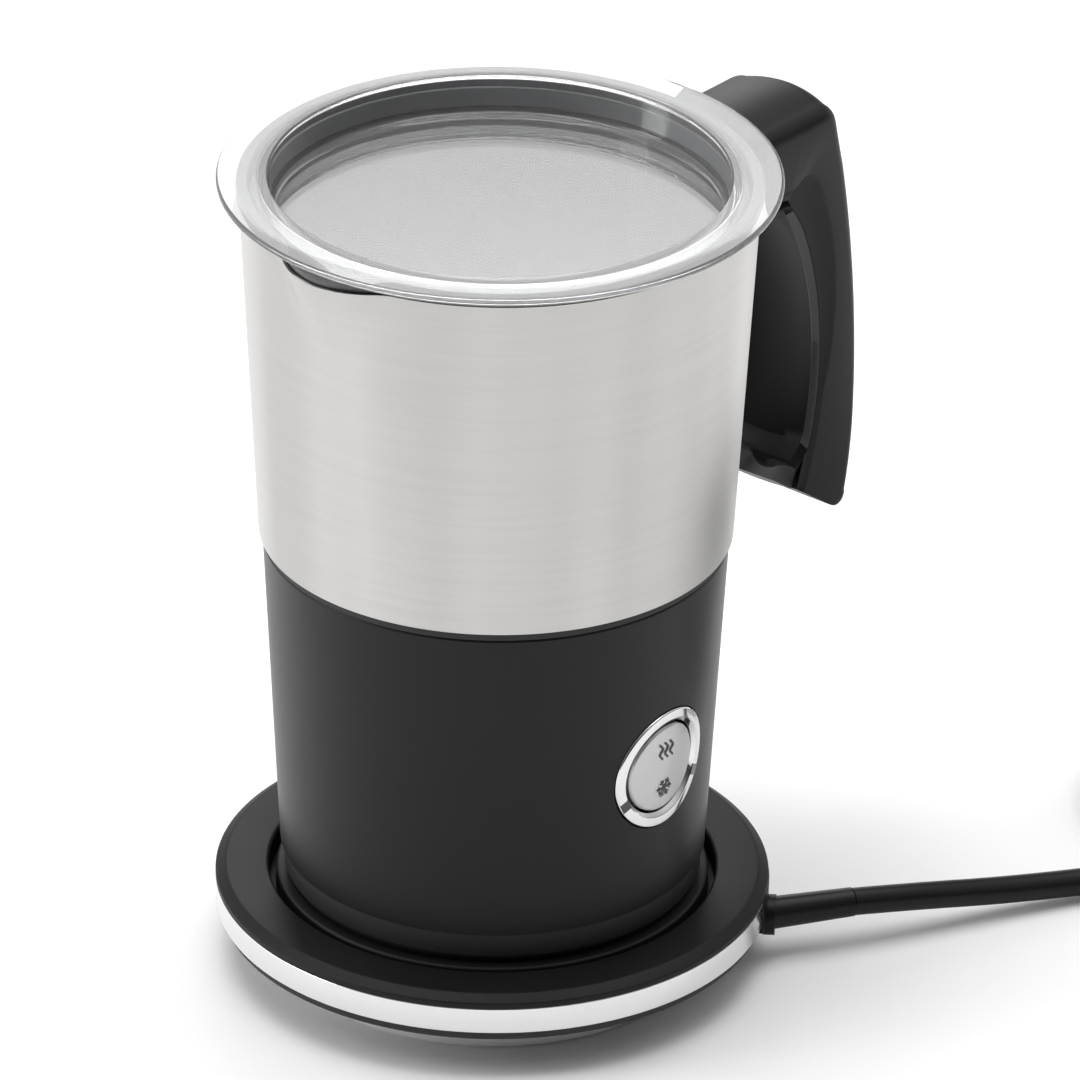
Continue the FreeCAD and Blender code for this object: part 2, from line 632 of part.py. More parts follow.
top_run, top_middle, top_back = corner((60.0, HANDLE_TOP), (1.0, 0.0), (0.0, -1.0))
low_way = (math.cos(UNDERSIDE_TURN), math.sin(UNDERSIDE_TURN))
low_in = (-low_way[1], low_way[0])
low_run, low_middle, low_back = corner(SEAM_LOW, low_way, low_in)
back_middle = (BACK_CENTRE[0] + BACK_R, BACK_CENTRE[1])
outer_edges = [
    bar((50.0, HANDLE_TOP), top_run),
    bow(top_run, top_middle, top_back),
    bow(top_back, back_middle, low_back),
    bow(low_back, low_middle, low_run),
    bar(low_run, SEAM_LOW),
    bow(SEAM_LOW, (95.2, 120.0), SEAM_HIGH),
    bar(SEAM_HIGH, (50.0, 163.0)),
    bar((50.0, 163.0), (50.0, HANDLE_TOP)),
]
shell = handle_slab(outer_edges, 5, 3.0)

insert_edges = [
    bar((50.0, 162.85), (83.9, 158.85)),
    bow((83.9, 158.85), (95.0, 120.0), (88.7, 84.5)),
    bar((88.7, 84.5), (50.0, 109.3)),
    bar((50.0, 109.3), (50.0, 162.85)),
]
insert = Part.Face(Part.Wire(insert_edges)).extrude(V(0, 2 * HANDLE_HALF, 0))
gap_edges = [
    bar((62.5, 152.0), (66.0, 155.6)),
    bow((66.0, 155.6), (74.0, 158.2), (81.5, 155.4)),
    bow((81.5, 155.4), (90.4, 122.0), (85.4, 97.4)),
    bow((85.4, 97.4), (82.6, 96.0), (79.5, 97.6)),
    bar((79.5, 97.6), (61.6, 109.0)),
    bar((61.6, 109.0), (62.5, 152.0)),
]
gap_face = Part.Face(Part.Wire(gap_edges))
gap = gap_face.extrude(V(0, 2 * HANDLE_HALF, 0))
insert = insert.cut(gap)
jug_clear = turned([
    (0, 90.0), (steel_radius(90.0) + 0.15, 90.0), (steel_radius(182.0) + 0.15, 182.0), (0, 182.0)])
bracket_zone = skin(steel_radius, 114.0, 168.0, -0.5, 1.9).common(block(40, 80, -6.3, 6.3, 113, 169))
shell = shell.cut(jug_clear).cut(bracket_zone)
insert = insert.cut(jug_clear).cut(bracket_zone)
bracket = skin(steel_radius, 115.0, 167.0, 0.02, 1.6).common(block(40, 80, -6.0, 6.0, 114, 168))
handle_screws = []
for z in (122.0, 148.0):
    x_face = 62.0
    hole = Part.makeCylinder(1.7, 14.0, V(52.0, 0, z), V(1, 0, 0))
    sink = Part.makeCylinder(3.2, 20.0, V(x_face - 2.0, 0, z), V(1, 0, 0))
    sink = sink.common(block(50.0, 75.0, -10, 10, z - 10, z + 10))
    insert = insert.cut(hole).cut(sink)
    bracket = bracket.cut(Part.makeCylinder(1.55, 14.0, V(50.0, 0, z), V(1, 0, 0)))
    foot_x = steel_radius(z) + 0.2
    shank = Part.makeCylinder(1.5, x_face - 2.0 - foot_x, V(foot_x, 0, z), V(1, 0, 0))
    head = Part.makeCylinder(3.0, 1.6, V(x_face - 2.0, 0, z), V(1, 0, 0))
    handle_screws.append(shank.fuse(head))
save("handle_shell", shell)
save("handle_insert", insert)
save("handle_bracket", bracket)
save("handle_screws", *handle_screws)

# ---- lid ----
lid = turned([
    (0, DISH_FLOOR - LID_THICK), (DISH_R + 1.3, DISH_FLOOR - LID_THICK, 2.4),
    (DISH_R + 2.1, LID_TOP - LID_THICK, 0.6), (LID_R, LID_TOP - LID_THICK, 0.8), (LID_R, LID_TOP, 0.9),
    (DISH_R, LID_TOP, 0.5), (DISH_R - 0.7, DISH_FLOOR, 1.2), (0, DISH_FLOOR),
])
save("lid_disc", lid)
gasket = turned([
    (52.55, 183.0), (53.3, 183.0), (54.0, 183.9, 0.2), (53.3, 184.6), (53.3, 185.6),
    (54.2, 186.5, 0.2), (53.3, 187.3), (52.55, 187.3),
])
save("lid_gasket", gasket)
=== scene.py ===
import math

import bmesh
import bpy
import numpy as np
from bpy.props import FloatProperty, FloatVectorProperty, IntProperty, PointerProperty
from mathutils import Matrix, Vector


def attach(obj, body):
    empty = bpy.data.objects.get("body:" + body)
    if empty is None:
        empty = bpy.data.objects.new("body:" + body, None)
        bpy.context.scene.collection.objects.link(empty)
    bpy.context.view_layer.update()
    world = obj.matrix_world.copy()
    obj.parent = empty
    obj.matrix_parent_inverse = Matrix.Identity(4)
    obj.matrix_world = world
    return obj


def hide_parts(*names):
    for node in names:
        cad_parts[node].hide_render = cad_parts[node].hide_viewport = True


bl_info = {
    "name": "Milk Frother Looks",
    "version": (1, 0, 0),
    "blender": (4, 5, 0),
    "location": "3D View > Sidebar > Frother",
    "description": "Builds the visible surfaces and finishes of a milk frother on its power base",
    "category": "Object",
}

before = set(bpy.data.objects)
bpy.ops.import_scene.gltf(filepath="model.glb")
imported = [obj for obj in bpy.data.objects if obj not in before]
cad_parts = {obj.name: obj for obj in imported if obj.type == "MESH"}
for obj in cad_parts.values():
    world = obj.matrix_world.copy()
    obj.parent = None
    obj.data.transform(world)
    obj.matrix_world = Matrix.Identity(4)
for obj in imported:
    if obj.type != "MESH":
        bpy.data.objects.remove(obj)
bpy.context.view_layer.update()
MM = 0.001

# Shape of the moulded and pressed parts, in millimetres.
HOUSING_LOW, HOUSING_HIGH = 28.3, 103.9
HOUSING_LOW_R, HOUSING_HIGH_R = 47.5, 51.5
SLEEVE_LOW, SLEEVE_HIGH = 105.9, 187.0
SLEEVE_LOW_R, SLEEVE_HIGH_R = 52.4, 56.8
BUTTON_Z = 62.4
SPOUT_EDGE_Z = 188.6
SPOUT_EDGE_FALL = math.radians(22)
SPOUT_EDGE_REACH = 56.4
SPOUT_CREASE = 1.6
SPOUT_CONE_Z = 188.0
SPOUT_BLEND_LOW, SPOUT_BLEND_SPAN = 175.0, 12.0
BAND_START, BAND_END = -47.1, 298.1

# The handle: half its thickness, the clearance to the sleeve and the ends of its seam, in the XZ plane.
HANDLE_HALF = 14.5
SLEEVE_CLEARANCE = 0.15
SEAM_HIGH, SEAM_LOW = (84.0, 159.0), (88.9, 84.4)
HANDLE_TOP = 177.5
SHELL_ROUNDING = 3.8
SHELL_CROWN = 1.9
SHELL_HOLLOW = 3.4
GRIP_SLANT = 1.7
GRIP_DISH, GRIP_BACK_DISH = 2.7, 3.0
# Lift of the strip of painted highlight that stands in for the lit bevel along the grip's edges.
HIGHLIGHT_STRIP_LIFT = 0.12

# The lead: where it leaves the base, its heights on the floor and at the top of its stored turns.
OUTLET = (36.3, -50.2, 10.4)
OUTLET_ANGLE = math.radians(-33.0)
BOOT_LENGTH = 20.0
LEAD_ON_FLOOR, COIL_TOP = 3.3, 18.2
COIL_POINTS = 16
TAIL_LENGTH = 25.0

# Parts of the surround that are darker or brighter: direction, sharpness, change in brightness.
SURROUND = [
    ((-0.75, -0.62, 0.15), 1.6, -1.15),
    ((0.68, 0.57, 0.46), 4.0, -0.95),
    ((0.17, -0.98, 0.05), 24.0, -1.1),
    ((-0.60, 0.80, 0.10), 9.0, 0.7),
    ((0.70, -0.72, 0.05), 9.0, -1.0),
]
DARKEST = 0.02
# Lights: name, place in metres, width, height, power.
LIGHTS = [
    ("key_left", (-1.3, 1.1, 0.9), 0.5, 1.4, 9.0),
    ("fill_back", (1.3, 1.2, 0.9), 0.6, 1.2, 6.0),
    ("top", (0.2, 0.2, 1.9), 1.6, 1.6, 27.0),
]
# The camera: its place in metres, where it looks, its level direction and its tilt.
CAMERA_PLACE = (-1.596, -1.352, 1.1988)
CAMERA_AHEAD, CAMERA_LEVEL = (0.6784, 0.5693, -0.4645), (0.6428, -0.7660, 0.0)
CAMERA_TILT = math.radians(0.79)
FLOOR_HALF = 6.0


class FrotherFinishes(bpy.types.PropertyGroup):
    """Colours and surface qualities of the frother's materials"""
    black: FloatVectorProperty(
        name="Housing black", description="Colour of the satin moulded housing and handle",
        subtype="COLOR", size=3, min=0.0, max=1.0, default=(0.0065, 0.0065, 0.007))
    base_black: FloatVectorProperty(
        name="Base black", description="Colour of the matte moulded power base",
        subtype="COLOR", size=3, min=0.0, max=1.0, default=(0.008, 0.008, 0.0086))
    steel: FloatVectorProperty(
        name="Steel", description="Colour of the brushed steel sleeve",
        subtype="COLOR", size=3, min=0.0, max=1.0, default=(0.52, 0.513, 0.50))
    silver: FloatVectorProperty(
        name="Button silver", description="Colour of the satin button cap",
        subtype="COLOR", size=3, min=0.0, max=1.0, default=(0.57, 0.57, 0.57))
    coating: FloatVectorProperty(
        name="Pot coating", description="Colour of the non-stick coating inside the pot",
        subtype="COLOR", size=3, min=0.0, max=1.0, default=(0.085, 0.085, 0.089))
    lid_tint: FloatVectorProperty(
        name="Lid tint", description="Tint of the clear lid",
        subtype="COLOR", size=3, min=0.0, max=1.0, default=(0.90, 0.905, 0.91))
    steel_roughness: FloatProperty(
        name="Steel roughness", description="Mean roughness of the brushed steel",
        subtype="FACTOR", min=0.0, max=1.0, default=0.34)


class FrotherShape(bpy.types.PropertyGroup):
    """Sizes of the spout and the whisk"""
    spout_radius: FloatProperty(
        name="Spout radius", description="Radius of the spout's cone at the pouring edge",
        unit="LENGTH", min=0.005, max=0.04, default=19.1 * MM)
    spout_centre: FloatProperty(
        name="Spout centre", description="Distance of the spout's cone from the jug's axis",
        unit="LENGTH", min=0.0, max=0.08, default=42.9 * MM)
    spout_flare: FloatProperty(
        name="Spout flare", description="Growth of the spout's radius with height",
        min=0.0, max=1.0, default=0.32)
    whisk_wire: FloatProperty(
        name="Whisk wire radius", description="Radius of the wire wound round the whisk",
        unit="LENGTH", min=0.0001, max=0.002, default=0.34 * MM)
    whisk_turns: IntProperty(
        name="Whisk turns", description="Turns of wire round the whisk",
        min=8, max=80, default=46)


class FrotherLead(bpy.types.PropertyGroup):
    """The mains lead"""
    radius: FloatProperty(
        name="Lead radius", description="Half the thickness of the lead",
        unit="LENGTH", min=0.001, max=0.01, default=3.15 * MM)
    coil_radius: FloatProperty(
        name="Coil radius", description="Radius at the middle of the stored turns",
        unit="LENGTH", min=0.01, max=0.1, default=34.0 * MM)
    turns: FloatProperty(
        name="Coil turns", description="Stored turns of the lead", min=0.0, max=10.0, default=2.3)
    length: FloatProperty(
        name="Lead length", description="Length of the lead from its boot to its plug",
        unit="LENGTH", min=0.1, max=5.0, default=0.623)


class FrotherStudio(bpy.types.PropertyGroup):
    """Floor, light and camera"""
    lens: FloatProperty(
        name="Lens", description="Focal length of the camera",
        unit="CAMERA", min=20.0, max=600.0, default=356.95)
    sky: FloatProperty(
        name="Surround", description="Brightness of the even surround", min=0.0, max=4.0, default=0.95)
    floor: FloatVectorProperty(
        name="Floor", description="Colour of the floor",
        subtype="COLOR", size=3, min=0.0, max=1.0, default=(0.95, 0.95, 0.95))


# ---- surfaces ----
def rounded(points, steps=6):
    """Closed outline with arcs at its corners. A corner (a, b, radius) is cut back on both sides by
    radius * tan(half its turn), and filled with centre + radius * (cos, sin) over the turn."""
    flat = np.array([p[:2] for p in points], float)
    radii = [p[2] if len(p) > 2 else 0.0 for p in points]
    out = []
    for i, radius in enumerate(radii):
        here = flat[i]
        if radius <= 0.0:
            out.append(here[None])
            continue
        back = flat[i - 1] - here
        on = flat[(i + 1) % len(flat)] - here
        back, on = back / np.linalg.norm(back), on / np.linalg.norm(on)
        half = math.acos(np.clip(back @ on, -1, 1)) / 2
        middle = (back + on) / np.linalg.norm(back + on)
        centre = here + middle * radius / math.sin(half)
        side = np.array([middle[1], -middle[0]])
        side = side if side @ back > 0 else -side
        sweep = np.linspace(math.pi / 2 - half, half - math.pi / 2, steps)
        out.append(centre + radius * (
            np.sin(sweep)[:, None] * side - np.cos(sweep)[:, None] * middle))
    return np.concatenate(out)


def finer(outline, longest):
    """Outline with its long straight sides divided, so that no side is longer than this."""
    out = []
    for a, b in zip(outline, np.roll(outline, -1, axis=0)):
        count = max(1, math.ceil(np.linalg.norm(b - a) / longest))
        out.append(a + (b - a) * np.linspace(0, 1, count, endpoint=False)[:, None])
    return np.concatenate(out)


def add_piece(name, body, material, parts, nodes=(), sharp=38.0):
    """Put grids of points into one mesh. A part is (points[u, v, xyz] in mm, wraps in u, wraps in v);
    neighbouring points make quads, doubles are merged and the normals turned outwards."""
    points, quads, start = [], [], 0
    for grid, wrap_u, wrap_v in parts:
        rows, columns = grid.shape[:2]
        index = np.arange(rows * columns).reshape(rows, columns) + start
        if wrap_u:
            index = np.concatenate([index, index[:1]], axis=0)
        if wrap_v:
            index = np.concatenate([index, index[:, :1]], axis=1)
        quads.append(np.stack(
            [index[:-1, :-1], index[1:, :-1], index[1:, 1:], index[:-1, 1:]], -1).reshape(-1, 4))
        points.append(grid.reshape(-1, 3))
        start += rows * columns
    mesh = bpy.data.meshes.new(name)
    mesh.from_pydata((np.concatenate(points) * MM).tolist(), [], np.concatenate(quads).tolist())
    work = bmesh.new()
    work.from_mesh(mesh)
    bmesh.ops.remove_doubles(work, verts=work.verts, dist=2e-7)
    bmesh.ops.dissolve_degenerate(work, edges=work.edges, dist=1e-8)
    bmesh.ops.recalc_face_normals(work, faces=work.faces)
    work.to_mesh(mesh)
    work.free()
    mesh.polygons.foreach_set("use_smooth", np.ones(len(mesh.polygons), bool))
    mesh.set_sharp_from_angle(angle=math.radians(sharp))
    piece = bpy.data.objects.new(name, mesh)
    bpy.context.scene.collection.objects.link(piece)
    mesh.materials.append(material)
    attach(piece, body)
    if nodes:
        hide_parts(*nodes)
    return piece


def lathe(outline, steps=192):
    """Surface of revolution: (r cos t, r sin t, z) for each (r, z) of the outline and turn t."""
    t = np.linspace(0, 2 * np.pi, steps, endpoint=False)[:, None]
    r, z = outline[:, 0][None], outline[:, 1][None]
    return np.stack([r * np.cos(t), r * np.sin(t), z + 0 * t], -1), True, True


def arc_band(outline, start, end, steps=180):
    """Part of a revolution between two turns in degrees, its ends closed by the outline's middle."""
    t = np.radians(np.linspace(start, end, steps))
    t = np.concatenate([t[:1], t, t[-1:]])[:, None]
    r = np.repeat(outline[:, 0][None], len(t), 0)
    z = np.repeat(outline[:, 1][None], len(t), 0)
    for end_row in (0, -1):
        r[end_row], z[end_row] = outline[:, 0].mean(), outline[:, 1].mean()
    return np.stack([r * np.cos(t), r * np.sin(t), z], -1), False, True


def smooth_most(a, b, width):
    """The larger of two surfaces, with their crease rounded over this width:
    max(a, b) + max(width - |a - b|, 0)^2 / (4 width)."""
    return np.maximum(a, b) + np.maximum(width - np.abs(a - b), 0) ** 2 / (4 * width)


def spout_reach(t, z, inset):
    """Distance from the jug's axis to the far side of the spout's upright cone, in the direction t:
    along + sqrt(s^2 - c^2 + along^2), with s the cone's radius at z and along = c cos(t - 180 deg)."""
    shape = bpy.context.scene.frother_shape
    centre = shape.spout_centre / MM
    s = shape.spout_radius / MM + shape.spout_flare * (z - SPOUT_CONE_Z) - inset
    along = -centre * np.cos(t)
    inside = s ** 2 - centre ** 2 + along ** 2
    seen = (inside > 0) & (along > 0) & (s > 0)
    return np.where(seen, along + np.sqrt(np.maximum(inside, 0)), 0.0)


def spouted(rows, steps=360):
    """Turned vessel with a pouring spout. A row is (r, z, inset); an inset of None keeps it round,
    otherwise r is the larger of the row's and the spout cone's, and z stays under the spout's edge,
    a plane that falls outwards from the rim at 22 degrees."""
    t = np.linspace(0, 2 * np.pi, steps, endpoint=False)[:, None]
    r = np.array([row[0] for row in rows], float)[None] + 0 * t
    z = np.array([row[1] for row in rows], float)[None] + 0 * t
    follows = np.array([row[2] is not None for row in rows])[None]
    inset = np.array([row[2] or 0.0 for row in rows])[None]
    height = z
    for _ in range(2):
        wide = np.where(follows, smooth_most(r, spout_reach(t, z, inset), SPOUT_CREASE), r)
        edge = SPOUT_EDGE_Z + math.tan(SPOUT_EDGE_FALL) * (wide * np.cos(t) + SPOUT_EDGE_REACH)
        near_rim = np.clip((z - SPOUT_BLEND_LOW) / SPOUT_BLEND_SPAN, 0, 1)
        drop = np.maximum(SLEEVE_HIGH - edge, 0) * follows
        z = height - drop * near_rim
    return np.stack([wide * np.cos(t), wide * np.sin(t), z], -1), True, True


def housing_radius(z):
    """Outer radius of the tapered housing at a height."""
    return HOUSING_LOW_R + (z - HOUSING_LOW) / (HOUSING_HIGH - HOUSING_LOW) * (
        HOUSING_HIGH_R - HOUSING_LOW_R)


def on_front(x, z, lift):
    """Points laid on the housing's tapered front: y = -sqrt((radius at z + lift)^2 - x^2)."""
    return np.stack([x + 0 * z, -np.sqrt((housing_radius(z) + lift) ** 2 - x ** 2), z + 0 * x], -1)


def front_ring(section, steps=144):
    """Closed section of (distance from the button's centre, lift off the housing), carried round the
    button: x = d cos t, z = centre + d sin t, laid on the housing's front."""
    t = np.linspace(0, 2 * np.pi, steps, endpoint=False)[:, None]
    d, lift = section[:, 0][None], section[:, 1][None]
    return on_front(d * np.cos(t), BUTTON_Z + d * np.sin(t), lift + 0 * t), True, True


def front_ribbon(x, z, half, low, high):
    """Flat bar along a line on the housing's front: the line moved sideways by +-half its width, at
    two lifts, which gives a closed section of four corners with pinched ends."""
    way = np.stack([np.gradient(x), np.gradient(z)], -1)
    way /= np.linalg.norm(way, axis=1)[:, None]
    corners = [(-1, low), (1, low), (1, high), (-1, high)]
    rows = [on_front(x - s * half * way[:, 1], z + s * half * way[:, 0], lift) for s, lift in corners]
    grid = np.stack(rows, 1)
    first = np.repeat(grid[:1].mean(1, keepdims=True), 4, 1)
    last = np.repeat(grid[-1:].mean(1, keepdims=True), 4, 1)
    return np.concatenate([first, grid, last]), False, True


def tube(line, radius, sides=10, closed=False):
    """Round bar along a line: line + radius * (cos a * across + sin a * up), with up taken across the
    line and the world's Z; open ends are pinched shut."""
    way = np.roll(line, -1, 0) - np.roll(line, 1, 0) if closed else np.gradient(line, axis=0)
    way /= np.linalg.norm(way, axis=1)[:, None]
    guide = np.where(np.abs(way[:, 2:3]) > 0.9, [[1.0, 0.0, 0.0]], [[0.0, 0.0, 1.0]])
    across = np.cross(way, guide)
    across /= np.linalg.norm(across, axis=1)[:, None]
    up = np.cross(across, way)
    a = np.linspace(0, 2 * np.pi, sides, endpoint=False)[None, :, None]
    grid = line[:, None] + radius * (np.cos(a) * across[:, None] + np.sin(a) * up[:, None])
    if closed:
        return grid, True, True
    return np.concatenate([
        np.repeat(line[:1, None], sides, 1), grid, np.repeat(line[-1:, None], sides, 1)]), False, True


def through(points, count):
    """Evenly spaced points on the circle through three points, or on the line between two."""
    p = np.array(points, float)
    if len(p) == 2:
        return p[0] + (p[1] - p[0]) * np.linspace(0, 1, count)[:, None]
    centre = np.linalg.solve(2 * (p[1:] - p[0]), (p[1:] ** 2 - p[0] ** 2).sum(1))
    turn = np.unwrap(np.arctan2(*(p - centre).T[::-1]))
    turn = np.linspace(turn[0], turn[-1], count)[:, None]
    return centre + np.linalg.norm(p[0] - centre) * np.concatenate([np.cos(turn), np.sin(turn)], 1)


def bridge(outer, inner, depth, y, closed):
    """Loft along the handle. Each station has a point on its outer and one on its inner outline in
    the XZ plane. A section point is (depth from the outer point towards the inner one, y), and the
    station's place is outer + depth * (inner - outer) / |inner - outer|; the sleeve pushes it out to
    x = sqrt((sleeve radius + clearance)^2 - y^2)."""
    way = inner - outer
    way = way / np.linalg.norm(way, axis=1)[:, None]
    x = outer[:, :1] + depth * way[:, :1]
    z = outer[:, 1:] + depth * way[:, 1:]
    slope = (SLEEVE_HIGH_R - SLEEVE_LOW_R) / (SLEEVE_HIGH - SLEEVE_LOW)
    sleeve = SLEEVE_LOW_R + slope * (z - SLEEVE_LOW) + SLEEVE_CLEARANCE
    x = np.maximum(x, np.sqrt(sleeve ** 2 - y ** 2))
    grid = np.stack([x, y, z], -1)
    if closed:
        return grid, True, True
    first = np.repeat(grid[:1].mean(1, keepdims=True), grid.shape[1], 1)
    last = np.repeat(grid[-1:].mean(1, keepdims=True), grid.shape[1], 1)
    return np.concatenate([first, grid, last]), False, True


# ---- finishes ----
def new_group(name, inputs, outputs):
    """Shader node group with its sockets: inputs are (name, kind, default), outputs (name, kind)."""
    group = bpy.data.node_groups.new(name, "ShaderNodeTree")
    for label, kind, default in inputs:
        socket = group.interface.new_socket(name=label, in_out="INPUT", socket_type=kind)
        if default is not None:
            socket.default_value = default
    for label, kind in outputs:
        group.interface.new_socket(name=label, in_out="OUTPUT", socket_type=kind)
    return group, group.nodes.new("NodeGroupInput"), group.nodes.new("NodeGroupOutput")


def math_node(tree, operation, a, b, c=None):
    """Math node on sockets or numbers; returns its result."""
    node = tree.nodes.new("ShaderNodeMath")
    node.operation = operation
    for place, value in enumerate((a, b, c)):
        if value is None:
            continue
        if isinstance(value, (int, float)):
            node.inputs[place].default_value = value
        else:
            tree.links.new(value, node.inputs[place])
    return node.outputs[0]


def noise(tree, place, scale, detail=3.0, stretch=(1.0, 1.0, 1.0)):
    """Noise about the middle value 0.5, at a place stretched by these factors."""
    mapping = tree.nodes.new("ShaderNodeMapping")
    mapping.inputs["Scale"].default_value = stretch
    tree.links.new(place, mapping.inputs["Vector"])
    texture = tree.nodes.new("ShaderNodeTexNoise")
    texture.inputs["Detail"].default_value = detail
    tree.links.new(mapping.outputs[0], texture.inputs["Vector"])
    if isinstance(scale, (int, float)):
        texture.inputs["Scale"].default_value = scale
    else:
        tree.links.new(scale, texture.inputs["Scale"])
    return texture.outputs["Fac"]


def shaded(tree, colour, factor):
    """Colour times a factor."""
    node = tree.nodes.new("ShaderNodeVectorMath")
    node.operation = "SCALE"
    tree.links.new(colour, node.inputs[0])
    tree.links.new(factor, node.inputs["Scale"])
    return node.outputs[0]


def moulded_grain():
    """Fine moulded or cast texture: small grain for height and roughness, broad drift for colour."""
    group, given, result = new_group("moulded_grain", [
        ("Place", "NodeSocketVector", None), ("Colour", "NodeSocketColor", (0.5, 0.5, 0.5, 1.0)),
        ("Grain scale", "NodeSocketFloat", 2600.0), ("Drift", "NodeSocketFloat", 0.10),
        ("Roughness", "NodeSocketFloat", 0.4), ("Unevenness", "NodeSocketFloat", 0.08),
    ], [("Colour", "NodeSocketColor"), ("Roughness", "NodeSocketFloat"), ("Height", "NodeSocketFloat")])
    place = given.outputs["Place"]
    grain = noise(group, place, given.outputs["Grain scale"], 2.0)
    broad = noise(group, place, 38.0, 3.0)
    around_one = math_node(group, "MULTIPLY_ADD", math_node(group, "SUBTRACT", broad, 0.5),
                           given.outputs["Drift"], 1.0)
    uneven = math_node(group, "MULTIPLY_ADD", math_node(group, "SUBTRACT", grain, 0.5),
                       given.outputs["Unevenness"], given.outputs["Roughness"])
    drift = math_node(group, "MULTIPLY_ADD", math_node(group, "SUBTRACT", broad, 0.5),
                      given.outputs["Unevenness"], uneven)
    group.links.new(shaded(group, given.outputs["Colour"], around_one), result.inputs["Colour"])
    group.links.new(drift, result.inputs["Roughness"])
    group.links.new(grain, result.inputs["Height"])
    return group


def brushed_grain():
    """Brush lines round the Z axis: noise squeezed along Z gives fine lines for height and tone, and
    noise stretched along Z gives broad upright bands of tone, which are painted reflection bands."""
    group, given, result = new_group("brushed_grain", [
        ("Place", "NodeSocketVector", None), ("Colour", "NodeSocketColor", (0.5, 0.5, 0.5, 1.0)),
        ("Line tone", "NodeSocketFloat", 0.12), ("Painted band tone", "NodeSocketFloat", 0.0),
        ("Roughness", "NodeSocketFloat", 0.3),
        ("Unevenness", "NodeSocketFloat", 0.16),
    ], [("Colour", "NodeSocketColor"), ("Roughness", "NodeSocketFloat"), ("Height", "NodeSocketFloat")])
    place = given.outputs["Place"]
    lines = noise(group, place, 60.0, 4.0, (1.0, 1.0, 60.0))
    streaks = noise(group, place, 24.0, 3.0, (1.0, 1.0, 30.0))
    both = math_node(group, "MULTIPLY_ADD", streaks, 0.6, math_node(group, "MULTIPLY", lines, 0.4))
    centred = math_node(group, "SUBTRACT", both, 0.5)
    # Broad upright bands of tone across the brush lines: painted reflection bands.
    painted_band_noise = math_node(group, "SUBTRACT", noise(group, place, 52.0, 1.0, (1.0, 1.0, 0.03)), 0.5)
    broad = math_node(group, "MULTIPLY_ADD", painted_band_noise, given.outputs["Painted band tone"], 1.0)
    tone = math_node(group, "MULTIPLY_ADD", centred, given.outputs["Line tone"], broad)
    rough = math_node(group, "MULTIPLY_ADD", centred, given.outputs["Unevenness"],
                      given.outputs["Roughness"])
    group.links.new(shaded(group, given.outputs["Colour"], tone), result.inputs["Colour"])
    group.links.new(rough, result.inputs["Roughness"])
    group.links.new(lines, result.inputs["Height"])
    return group


GROUPS = {}
MATERIALS = {}


def finish(name, colour, roughness, grain="moulded_grain", depth=0.00002, strength=0.2, metallic=0.0,
           drift=0.10, unevenness=0.08, scale=2600.0, line_tone=0.12, painted_band_tone=0.0, coat=0.0,
           coat_roughness=0.1, specular=0.5, anisotropic=0.0, transmission=0.0, ior=1.5, sheen=0.0):
    """Material from one of the grain groups: its colour, roughness and height vary over the surface,
    and the values that are the same all over are set on the shader's own sockets."""
    if name in MATERIALS:
        return MATERIALS[name]
    material = bpy.data.materials.new(name)
    material.use_nodes = True
    tree = material.node_tree
    shader = tree.nodes["Principled BSDF"]
    place = tree.nodes.new("ShaderNodeTexCoord")
    node = tree.nodes.new("ShaderNodeGroup")
    node.node_tree = GROUPS[grain]
    tree.links.new(place.outputs["Object"], node.inputs["Place"])
    node.inputs["Colour"].default_value = (*colour, 1.0)
    node.inputs["Roughness"].default_value = roughness
    node.inputs["Unevenness"].default_value = unevenness
    if grain == "moulded_grain":
        node.inputs["Grain scale"].default_value = scale
        node.inputs["Drift"].default_value = drift
    else:
        node.inputs["Line tone"].default_value = line_tone
        node.inputs["Painted band tone"].default_value = painted_band_tone
    bump = tree.nodes.new("ShaderNodeBump")
    bump.inputs["Strength"].default_value = strength
    bump.inputs["Distance"].default_value = depth
    tree.links.new(node.outputs["Height"], bump.inputs["Height"])
    tree.links.new(node.outputs["Colour"], shader.inputs["Base Color"])
    tree.links.new(node.outputs["Roughness"], shader.inputs["Roughness"])
    tree.links.new(bump.outputs["Normal"], shader.inputs["Normal"])
    for socket, value in (
            ("Metallic", metallic), ("Coat Weight", coat), ("Coat Roughness", coat_roughness),
            ("Specular IOR Level", specular), ("Anisotropic", anisotropic),
            ("Transmission Weight", transmission), ("IOR", ior), ("Sheen Weight", sheen)):
        shader.inputs[socket].default_value = value
    if anisotropic:
        tangent = tree.nodes.new("ShaderNodeTangent")
        tangent.direction_type = "RADIAL"
        tangent.axis = "Z"
        tree.links.new(tangent.outputs[0], shader.inputs["Tangent"])
    MATERIALS[name] = material
    return material


